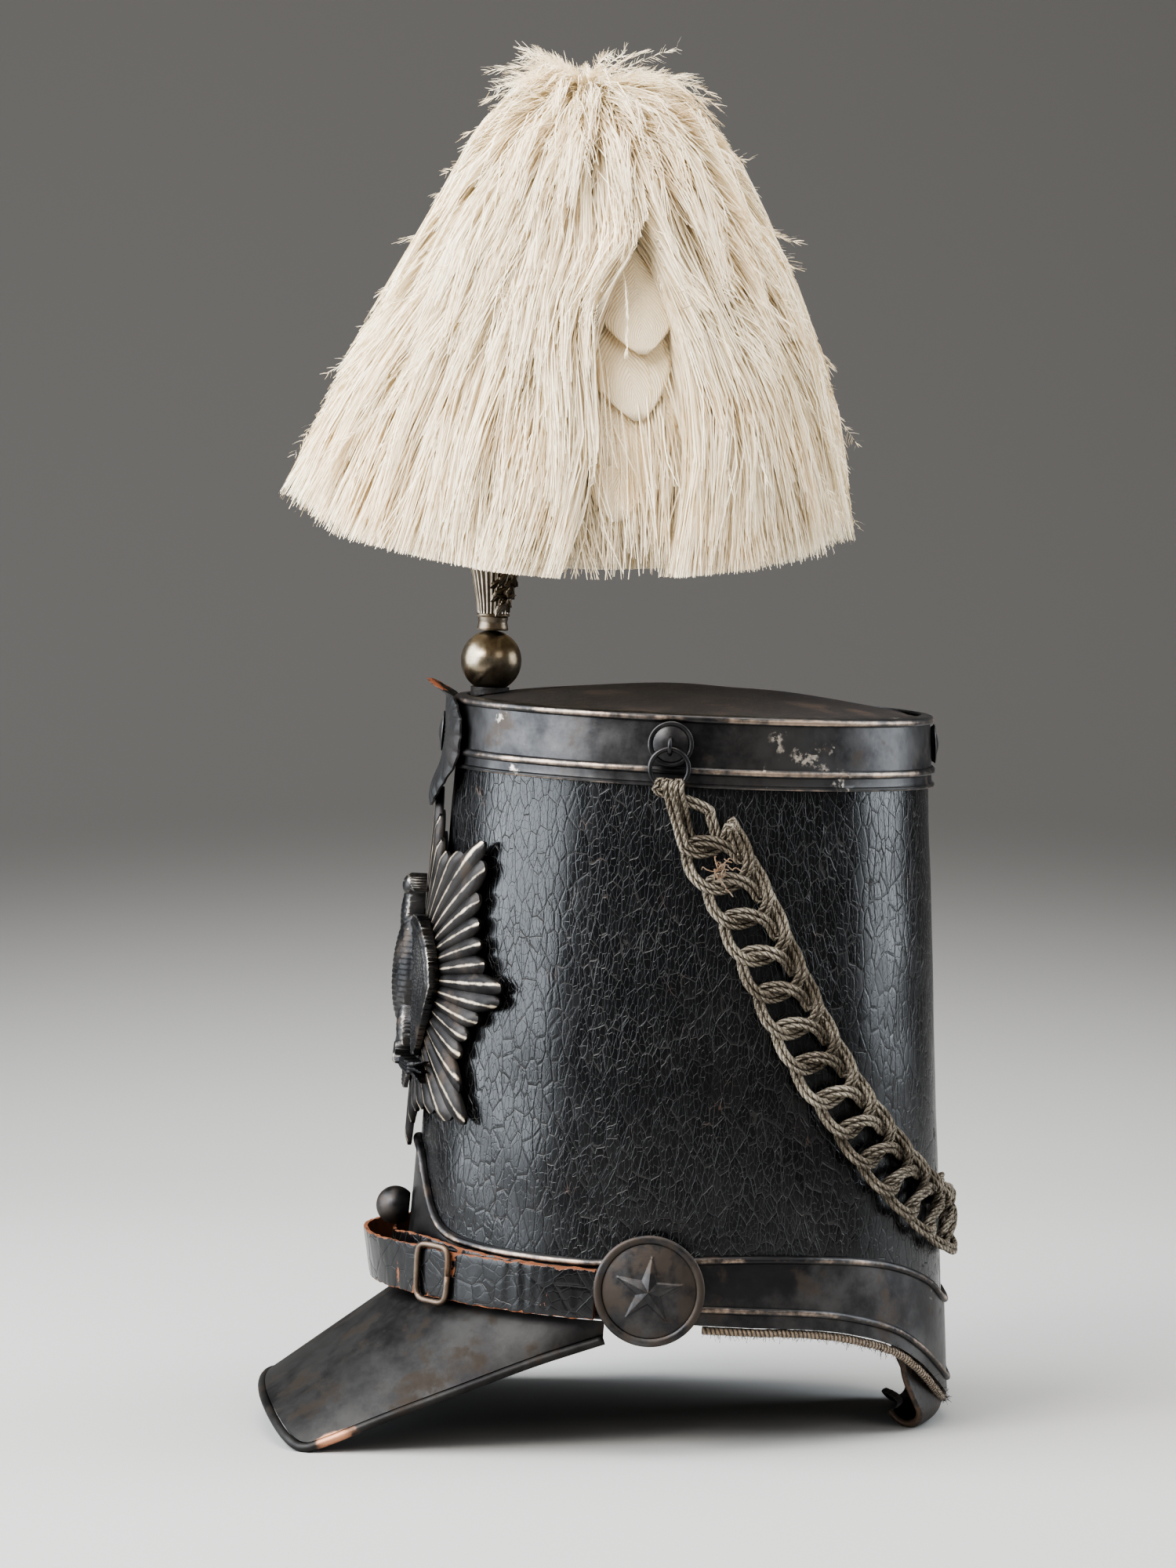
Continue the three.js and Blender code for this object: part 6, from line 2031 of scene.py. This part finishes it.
@dataclass(frozen=True)
class CapChain:
    """The looped chain of a doubled cord, stitch in stitch, round the back between the rings."""

    pitch: float = 15.0
    cord_radius: float = 1.08
    spread: float = 1.02
    float_out: float = 1.75
    stand_off: float = 4.0
    middle: float = 0.475
    step: float = 1.15
    main_length: float = 1250.0

    def route(self) -> tuple[list[Vector], list[float]]:
        """Gives the chain's middle line round the back with the length up to each point."""
        left = [CROWN.on(math.radians(turn), up, self.stand_off) for turn, up in CHAIN_ROUTE]
        right = [Vector((-point.x, point.y, point.z)) for point in reversed(left[:-1])]
        points = spline([*left, *right], 900)
        lengths = [0.0]
        for start, end in zip(points, points[1:]):
            lengths.append(lengths[-1] + (end - start).length)
        return points, lengths

    def on_wall(
        self, points: Sequence[Vector], lengths: Sequence[float], along: float, across: float, lift: float
    ) -> tuple[Vector, Vector]:
        """Gives a point of the chain and the wall's direction there.

        Args:
            points: The route.
            lengths: The length up to each of its points.
            along: The length along the route.
            across: The distance to its side.
            lift: The distance out of its middle surface.

        Returns:
            The point and the level direction out of the wall.
        """
        at = clamp(along, 0.0, lengths[-1])
        index = min(len(lengths) - 2, int(np.searchsorted(lengths, at, side="right")) - 1)
        share = (at - lengths[index]) / (lengths[index + 1] - lengths[index])
        centre = points[index].lerp(points[index + 1], share)
        low, high = max(0, index - 3), min(len(points) - 1, index + 4)
        tangent = (points[high] - points[low]).normalized()
        angle = self.angle_of(centre)
        side = tangent.cross(CROWN.normal(angle, centre.z)).normalized()
        spot = centre + tangent * (along - at) + side * across
        angle = self.angle_of(spot)
        return CROWN.on(angle, spot.z, self.stand_off + lift), CROWN.normal(angle, spot.z)

    def angle_of(self, point: Vector) -> float:
        """Gives the turn of a point round the crown."""
        depth, width, back = CROWN.oval(point.z)
        return math.atan2(point.x / width, (back - point.y) / depth)

    def through_ring(self, side: int) -> list[Vector]:
        """Gives the bight that passes through a side's ring, from behind to the front."""
        reach = FITTINGS.ring_wire + self.cord_radius + 2 * GAP
        seat = CROWN.fitting(side * math.radians(FITTINGS.side_degrees), FITTINGS.boss_up, SHELL.bead_clear)
        low = Vector((0, FITTINGS.ring_up - FITTINGS.ring_radius - FITTINGS.boss_up, FITTINGS.ring_lie))
        turns = [math.radians(mix(215, -25, i / 8)) for i in range(9)]
        return [seat @ (low + Vector((0, reach * math.sin(turn), reach * math.cos(turn)))) for turn in turns]

    def path(self) -> tuple[list[Vector], list[Vector]]:
        """Gives the doubled cord's whole path with the wall's direction at each point."""
        points, lengths = self.route()
        stitches = round(lengths[-1] / self.pitch)
        pitch = lengths[-1] / stitches
        knots = []
        for stitch in range(1, stitches):
            for i, (along, across, lie) in enumerate(STITCH):
                if (stitch == 1 and (i < 8 or i > 13)) or (stitch == stitches - 1 and i > 8):
                    continue
                slack = 1 + 0.07 * wander(Vector((stitch * 1.7, 0, 0)), 1.0, 5.0)
                side = (across * slack - self.middle) * pitch
                knots.append(Vector(((stitch + along * slack) * pitch, side, lie * self.float_out)))
        fine = [self.on_wall(points, lengths, *knot) for knot in spline(knots, len(knots) * 5)]
        left, right = (
            [(point, CROWN.normal(self.angle_of(point), point.z)) for point in self.through_ring(side)]
            for side in (1, -1)
        )
        centres, normals = zip(*left, *fine, *reversed(right))
        return list(centres), list(normals)

    def even(self, centres: Sequence[Vector], normals: Sequence[Vector]) -> tuple[list[Vector], list[Vector]]:
        """Shares a path's points out evenly."""
        lengths = np.concatenate([[0.0], np.cumsum([(b - a).length for a, b in zip(centres, centres[1:])])])
        at = np.linspace(0, lengths[-1], max(3, int(lengths[-1] / self.step)))
        shared = []
        for vectors in (centres, normals):
            known = np.array([tuple(vector) for vector in vectors])
            rows = np.stack([np.interp(at, lengths, known[:, k]) for k in range(3)], axis=1)
            shared.append([Vector(row) for row in rows.tolist()])
        return shared[0], [normal.normalized() for normal in shared[1]]

    def cord(
        self, centres: Sequence[Vector], normals: Sequence[Vector], side: float, phase: float
    ) -> bmesh.types.BMesh:
        """Makes one of the two cords, three strands wound round each other."""
        last = len(centres) - 1
        moved = []
        for i, centre in enumerate(centres):
            tangent = (centres[min(last, i + 1)] - centres[max(0, i - 1)]).normalized()
            across = tangent.cross(normals[i]).normalized()
            jitter = 0.14 * wander(centre, 5.0, phase)
            moved.append(centre + across * (side * self.spread + jitter) + normals[i] * jitter)
        share = last * self.step / self.main_length
        turns = share * Finish.CORD.value.turns

        def outline(across: float, along: float) -> tuple[float, float]:
            turn = across * FULL_TURN
            lobe = abs(math.sin(1.5 * (turn + along * turns * FULL_TURN)))
            radius = self.cord_radius * (0.78 + 0.22 * lobe**0.7)
            return radius * math.cos(turn), radius * math.sin(turn)

        made = tube_work(moved, normals, 12, outline)
        lengthwise = made.loops.layers.uv.active
        for face in made.faces:
            for loop in face.loops:
                loop[lengthwise].uv.y *= share
        return made

    def neck(self) -> list[tuple[list[Vector], list[Vector]]]:
        """Gives the extra bights that bunch at each ring and run into the first stitches."""
        points, lengths = self.route()
        bights = []
        for side in (1, -1):
            ring = self.through_ring(side)
            for offset, reach, bend in ((-2.7, 17.0, -3.0), (2.9, 19.0, 4.6)):
                loop, faced = [], []
                for point in ring:
                    angle = self.angle_of(point)
                    stand_off = (point - CROWN.on(angle, point.z)).length
                    angle += side * offset / 80
                    loop.append(CROWN.on(angle, point.z, stand_off))
                    faced.append(CROWN.normal(angle, point.z))
                for share in (0.25, 0.5, 0.75, 1.0):
                    along = 1.5 + reach * share
                    across = offset * (1 - share) + bend * math.sin(share * 2.2)
                    at = along if side > 0 else lengths[-1] - along
                    spot, normal = self.on_wall(points, lengths, at, across, 0.3 - 1.4 * share)
                    loop.append(spot)
                    faced.append(normal)
                bights.append((spline(loop, 60), spline(faced, 60)))
        return bights

    def tuft(self, groups: Groups) -> None:
        """Makes the small knot of frayed thread on the chain's left side."""
        points, lengths = self.route()
        rng = random.Random(4)
        parts = []
        for _ in range(16):
            start, normal = self.on_wall(points, lengths, rng.uniform(25, 33), rng.uniform(-1.5, 4.5), 3.1)
            heading = Vector((rng.uniform(-0.2, 0.6), rng.uniform(-1, 1), rng.uniform(-1, 0.8)))
            loop = []
            for k in range(5):
                curl = Vector((0, math.sin(k * 1.9), math.cos(k * 2.3))) * 0.7
                loop.append(start + heading * (k * 1.5) + normal * math.sin(k * 0.8) * 1.2 + curl)
            parts.append(tube_work(spline(loop, 14), [normal] * 14, 5, round_outline(0.24)))
        show(as_object(join_work(parts), "chain_thread_tuft"), Finish.THREAD.material(groups), "metal_cord")

    def build(self, groups: Groups) -> None:
        """Makes and dresses the chain."""
        cord = Finish.CORD.material(groups)
        paths = [self.path(), *self.neck()]
        for side, phase, name in ((-1, 0.0, "chain_cord_a"), (1, 2.0, "chain_cord_b")):
            parts = [self.cord(*self.even(centres, normals), side, phase) for centres, normals in paths]
            show(as_object(join_work(parts), name), cord, "metal_cord", "cap_chain")
        self.tuft(groups)


@dataclass(frozen=True)
class LowerTrim:
    """The frayed cloth piping and the curled leather flap behind."""

    piping_radius: float = 1.5
    piping_hang: float = 0.4
    piping_from: float = 95.0
    fibres: int = 2600
    flap_half: float = 46.0
    flap_tip: float = 31.0
    flap_sheet: float = 2.2
    flap_curl: float = 9.0
    flap_swing: float = 3.2
    straight_share: float = 0.45
    curl_degrees: float = 150.0

    def piping(self, groups: Groups) -> None:
        """Makes and dresses the piping and its loose fibres."""
        centres, normals = [], []
        steps = 260
        for i in range(steps + 1):
            angle = math.radians(mix(self.piping_from, 360 - self.piping_from, i / steps))
            up = SHELL.foot_edge(angle) - self.piping_hang - self.piping_radius
            rough = 0.18 * wander(CROWN.on(angle, up), 4.0)
            centres.append(CROWN.on(angle, up + rough, -self.piping_radius * 0.4 + rough))
            normals.append(CROWN.normal(angle, up))

        def outline(across: float, along: float) -> tuple[float, float]:
            radius = self.piping_radius * (1 + 0.14 * wander(Vector((along * 420, across * 3, 0)), 1.0, 2.0))
            return radius * math.cos(across * FULL_TURN), radius * math.sin(across * FULL_TURN)

        cloth = as_object(tube_work(centres, normals, 10, outline), "piping_cloth")
        show(cloth, Finish.PIPING.material(groups), "cloth_piping", "edge_piping")
        rng = np.random.default_rng(5)
        roots, tips, sides = [], [], []
        for _ in range(self.fibres):
            i = int(rng.integers(1, steps))
            turn = rng.uniform(-2.4, 0.9)
            out = normals[i] * math.cos(turn) + Vector((0, 0, math.sin(turn)))
            root = centres[i] + out * self.piping_radius * 0.9
            tip = root + (out + Vector(rng.normal(0, 0.6, 3).tolist())) * rng.uniform(0.4, 1.5)
            roots.append(to_row(root))
            tips.append(to_row(tip))
            sides.append(Vector(rng.normal(0, 1, 3).tolist()).cross(tip - root).normalized() * 0.00007)
        lines = np.stack([np.array(roots), np.array(tips)], axis=1)
        wide = np.repeat(np.array(sides)[:, None], 2, axis=1)
        fuzz = ribbons("piping_fuzz", lines, wide, np.zeros(self.fibres))
        show(fuzz, Finish.PIPING.material(groups), "cloth_piping")

    def flap(self, groups: Groups) -> None:
        """Makes and dresses the flap, which curls under and lies on the floor."""
        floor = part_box("neck_flap")[0].z + 0.0001
        rear_floor = (-HAT_UP + CROWN.foot_depth * math.sin(LEAN_BACK)) / math.cos(LEAN_BACK)
        curl_up = rear_floor + self.flap_curl - 0.4
        columns, half = 60, 46
        lie = -CROWN.wall - GAP - CROWN.foot_depth * (1 - math.cos(math.pi / 32))

        def place(across: float, along: float) -> Vector:
            share, depth, _ = section_walk(along, half)
            side_end = smooth((abs(across * 2 - 1) - 0.985) / 0.015)
            depth = mix(depth, 0.5, side_end) * (self.flap_sheet + 0.5) - 0.2
            half_width = mix(self.flap_half, self.flap_tip, smooth(share))
            up = mix(-10, curl_up, share / self.straight_share)
            out = lie - depth
            if share > self.straight_share:
                curled = (share - self.straight_share) / (1 - self.straight_share)
                turn = math.radians(self.curl_degrees) * curled
                radius = self.flap_curl - depth
                up = curl_up - radius * math.sin(turn)
                out = lie - self.flap_curl + radius * math.cos(turn)
            arc = (across * 2 - 1) * half_width
            ragged = 0.7 * wander(Vector((arc, share * 20, 0)), 5.0) * smooth((share - 0.8) / 0.2)
            swing = self.flap_swing * smooth((share - 0.22) / 0.3)
            point = CROWN.on(math.pi - CROWN.angle_at_arc(arc, up), up + ragged * 0.4, out + swing)
            point.z += max(0.0, floor - to_row(point).z) / MM
            return point

        def wear(across: float, along: float) -> float:
            _, _, row = section_walk(along, half)
            edge = smooth((abs(across * 2 - 1) - 0.9) / 0.1)
            return max(edge, 0.9 if half < row <= half + 2 else 0.0)

        made = grid_piece("neck_flap_leather", columns, 2 * half + 4, place, wear, crease=60)
        ends = made.modifiers.new("Side_edges", "BEVEL")
        ends.width = 0.0003
        ends.segments = 2
        show(made, Finish.FLAP.material(groups), "worn_leather", "neck_flap")

    def build(self, groups: Groups) -> None:
        """Makes and dresses the trim."""
        self.piping(groups)
        self.flap(groups)


@dataclass(frozen=True)
class PlumeStand:
    """The leather seat, the ball and the fluted holder with its spray of leaves."""

    inset: float = 10.4
    seat_radius: float = 7.2
    ball_radius: float = 11.4
    ball_clear: float = 1.2
    height: float = 24.7
    foot_radius: float = 6.0
    top_radius: float = 10.0
    neck_radius: float = 5.4
    flutes: int = 26
    flute: float = 0.525
    wall: float = 1.4

    @property
    def back(self) -> float:
        """The stand's place behind the hat's middle, which is negative to the front."""
        return -(CROWN.top_depth + CROWN.top_forward - self.inset)

    @property
    def ball_up(self) -> float:
        """The height of the ball's middle."""
        return CROWN.height + SHELL.bead + self.ball_clear + self.ball_radius

    def lid_height(self, side: float, back: float) -> float:
        """Gives the height of the lid under a point."""
        share = math.hypot(side / CROWN.top_width, (back + CROWN.top_forward) / CROWN.top_depth)
        return CROWN.height + SHELL.lid_dome * (1 - share * share)

    def build(self, groups: Groups) -> None:
        """Makes and dresses the three pieces."""
        middle = Matrix.Translation((0, self.back, self.ball_up))
        sphere = [
            (self.ball_radius * math.sin(math.pi * i / 48), -self.ball_radius * math.cos(math.pi * i / 48))
            for i in range(49)
        ]
        ball = as_object(turned_work(sphere, 96, middle), "plume_ball_fine")
        silver = Finish.OLD_SILVER.material(groups)
        show(ball, Finish.BALL.material(groups), "old_silver", "plume_ball")
        show(self.seat(), Finish.LID.material(groups), "worn_leather", "plume_seat")
        show(self.socket(), silver, "old_silver", "plume_socket")

    def seat(self) -> bpy.types.Object:
        """Makes the washer, shaped below to the lid and dished above for the ball."""
        rows = 24

        def place(across: float, along: float) -> Vector:
            turn = across * FULL_TURN
            step = along * rows
            share = step / 10 if step <= 10 else (1.0 if step <= 14 else (rows - step) / 10)
            uneven = 0.02 * wander(Vector((math.sin(turn), math.cos(turn), 0)), 0.4)
            radius = self.seat_radius * share * (1 + uneven)
            spot = at_turn(radius, turn, 0.0, self.back)
            low = self.lid_height(spot.x, spot.y) + GAP
            under_ball = self.ball_up - math.sqrt(max(0.0, (self.ball_radius + GAP) ** 2 - radius**2))
            high = min(self.ball_up - self.ball_radius + 1.6, under_ball)
            spot.z = mix(low, max(low + 0.3, high), clamp((step - 10) / 4))
            return spot

        return grid_piece("plume_seat_leather", 64, rows, place, crease=50)

    def socket(self) -> bpy.types.Object:
        """Makes the fluted cup with its collar, and lays the leaves and the flower on it."""
        up = self.ball_up + self.ball_radius
        tall, foot, neck, top = self.height, self.foot_radius, self.neck_radius, self.top_radius
        outline = [
            (0.0, 0.2), (4.0, 0.2), (foot - 0.3, 0.1), (foot, 0.5), (foot - 0.2, 1.0), (neck + 0.3, 1.6),
            (neck, tall * 0.12), (neck + 0.2, tall * 0.17), (foot - 0.3, tall * 0.2),
            (foot + 0.3, tall * 0.225), (foot, tall * 0.26), (foot + 0.5, tall * 0.4), (7.6, tall * 0.62),
            (8.7, tall * 0.82), (top, tall), (top - 0.4, tall + 0.1), (top - self.wall, tall - 0.1),
            (foot - self.wall, tall * 0.32), (0.0, tall * 0.3),
        ]
        last = len(outline) - 1
        finer = 5
        fluted_from, fluted_to = 10.0, 14.4

        def place(across: float, along: float) -> Vector:
            at = along * last
            low = min(last - 1, int(at + 1e-6))
            radius = mix(outline[low][0], outline[low + 1][0], at - low)
            height = mix(outline[low][1], outline[low + 1][1], at - low)
            if fluted_from <= at <= fluted_to:
                radius -= self.flute * (1 - abs(math.cos(across * self.flutes * math.pi)) ** 0.8)
            return at_turn(radius, across * FULL_TURN, up + height, self.back)

        def wear(across: float, along: float) -> float:
            ridge = abs(math.cos(across * self.flutes * math.pi)) ** 3
            return ridge if fluted_from <= along * last <= fluted_to else 0.4

        parts = [grid_work(self.flutes * 8, last * finer, place, wear)]
        for turn, share, length, lean in (
            (118, 0.36, 8.5, 0.5), (140, 0.42, 8.0, -0.5), (104, 0.56, 8.5, 0.75), (150, 0.6, 8.0, -0.7),
            (128, 0.62, 9.0, 0.1), (112, 0.8, 8.0, 0.5), (142, 0.82, 7.6, -0.35), (96, 0.72, 6.5, 0.9),
            (158, 0.74, 6.0, -0.9),
        ):
            parts.append(self.leaf(math.radians(turn), share, length, lean, up))
        for turn in range(5):
            parts.append(self.leaf(math.radians(126), 0.5, 4.2, turn * FULL_TURN / 5, up, lift=1.1))
        return as_object(join_work(parts), "plume_socket_fine", crease=55)

    def leaf(
        self, turn: float, share: float, length: float, lean: float, up: float, lift: float = 0.0
    ) -> bmesh.types.BMesh:
        """Makes one small pointed leaf that lies on the cup."""

        def place(across: float, along: float) -> Vector:
            off = across * 2 - 1
            wide = length * 0.2 * math.sin(math.pi * along**0.75) * (1 + 0.12 * math.cos(along * 28))
            over, ahead = off * wide, (along - 0.5 + (0.5 if lift else 0)) * length
            spot_over = over * math.cos(lean) + ahead * math.sin(lean)
            spot_up = ahead * math.cos(lean) - over * math.sin(lean)
            at = clamp(share + spot_up / self.height, 0.2, 1.0)
            radius = mix(self.foot_radius, self.top_radius, (at - 0.26) / 0.74)
            raised = lift + 0.85 * (1 - off * off) - (0.3 if abs(off) < 0.16 else 0) - 0.2
            return at_turn(radius + raised, turn + spot_over / radius, up + at * self.height, self.back)

        return grid_work(10, 14, place, lambda _, along: 0.7)


PARTS = (
    SHELL, Visor(), ChinStrap(), FITTINGS, FrontPlate(), Cockade(), CapChain(), LowerTrim(), PlumeStand(),
    Plume(),
)


@dataclass(frozen=True)
class Studio:
    """The floor, pale by the hat and darkened further off by painted shade, the soft lights and the camera."""

    eye: tuple[float, float, float] = (2.0, -0.0075, 0.371)
    pitch_degrees: float = -3.79
    lens: float = 122.8

    def build(self) -> None:
        """Makes the floor, the lights and the camera."""
        work = bmesh.new()
        bmesh.ops.create_grid(work, x_segments=2, y_segments=64, size=3.0)
        for vertex in work.verts:
            back = max(-1.5, -vertex.co.y)
            rise = max(0.0, back - 0.6)
            reach = back if rise == 0 else 0.6 + math.sin(min(rise, 1.2)) * 0.8
            up = (1 - math.cos(min(rise, math.pi / 2))) * 1.2 + max(0.0, rise - math.pi / 2)
            vertex.co = (-reach, vertex.co.x * 1.6, up)
        bmesh.ops.reverse_faces(work, faces=work.faces)
        floor = as_object(work, "studio_floor")
        paper = MaterialMaker("Studio_paper_painted_falloff")
        x, y, z = paper.add("ShaderNodeSeparateXYZ", paper.place).outputs
        # Painted shade: the paper's colour darkens with distance from the hat and with height up the sweep,
        # standing in for the fall-off of light.
        reach = paper.math("ADD", paper.math("MULTIPLY", x, x), paper.math("MULTIPLY", y, y))
        far = paper.math("MULTIPLY_ADD", z, 1.5, paper.math("MULTIPLY", paper.math("SQRT", reach), 0.5))
        colour = paper.blend(paper.band(far, 0.19, 0.75), (0.42, 0.413, 0.40, 1), (0.052, 0.049, 0.046, 1))
        behind = paper.add("ShaderNodeNewGeometry").outputs["Backfacing"]
        clear = paper.math("MULTIPLY_ADD", behind, -1.0, 1.0)
        finish = paper.done(Base_Color=colour, Roughness=0.8, Specular_IOR_Level=0.2, Alpha=clear)
        floor.data.materials.append(finish)
        self.light("Key_soft", (1.3, -1.25, 1.6), (1.0, 1.0), 54.0)
        self.light("Front_side_soft", (0.24, -1.15, 0.72), (1.3, 1.45), 52.0, (0.86, 0.93, 1.0))
        self.light("Back_side_soft", (-0.12, 1.2, 0.7), (0.7, 1.4), 20.0, (0.86, 0.93, 1.0))
        self.light("Fill_soft", (1.7, 1.2, 1.4), (0.9, 0.9), 10.0)
        self.light("Top_soft", (0.1, 0.0, 2.0), (1.3, 1.3), 42.0)
        world = bpy.data.worlds.new("Studio_air")
        world.use_nodes = True
        sky = world.node_tree.nodes["Background"]
        sky.inputs["Color"].default_value = (0.78, 0.78, 0.78, 1)
        sky.inputs["Strength"].default_value = 0.3
        bpy.context.scene.world = world
        camera = bpy.data.cameras.new("Photo_view")
        camera.lens = self.lens
        camera.clip_start = 0.05
        seen = bpy.data.objects.new("Photo_view", camera)
        seen.location = self.eye
        seen.rotation_euler = (math.radians(90 + self.pitch_degrees), 0, math.radians(90))
        bpy.context.scene.collection.objects.link(seen)
        bpy.context.scene.camera = seen
        bpy.context.scene.view_settings.look = "AgX - Medium High Contrast"

    def light(
        self, name: str, place: tuple[float, float, float], size: tuple[float, float], power: float,
        colour: tuple[float, float, float] = (1.0, 0.97, 0.93),
    ) -> None:
        """Adds a soft lamp that looks at the hat."""
        lamp = bpy.data.lights.new(name, "AREA")
        lamp.color = colour
        lamp.shape = "RECTANGLE"
        lamp.size, lamp.size_y = size
        lamp.energy = power
        made = bpy.data.objects.new(name, lamp)
        made.location = place
        look = Vector((0, 0, 0.22)) - Vector(place)
        made.rotation_euler = look.to_track_quat("-Z", "Y").to_euler()
        bpy.context.scene.collection.objects.link(made)


def main() -> None:
    """Builds the whole dressed hat."""
    logging.basicConfig(level=logging.INFO, format="%(name)s: %(message)s")
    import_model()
    groups = Groups()
    for part in PARTS:
        part.build(groups)
    Studio().build()


if __name__ == "__main__":
    main()
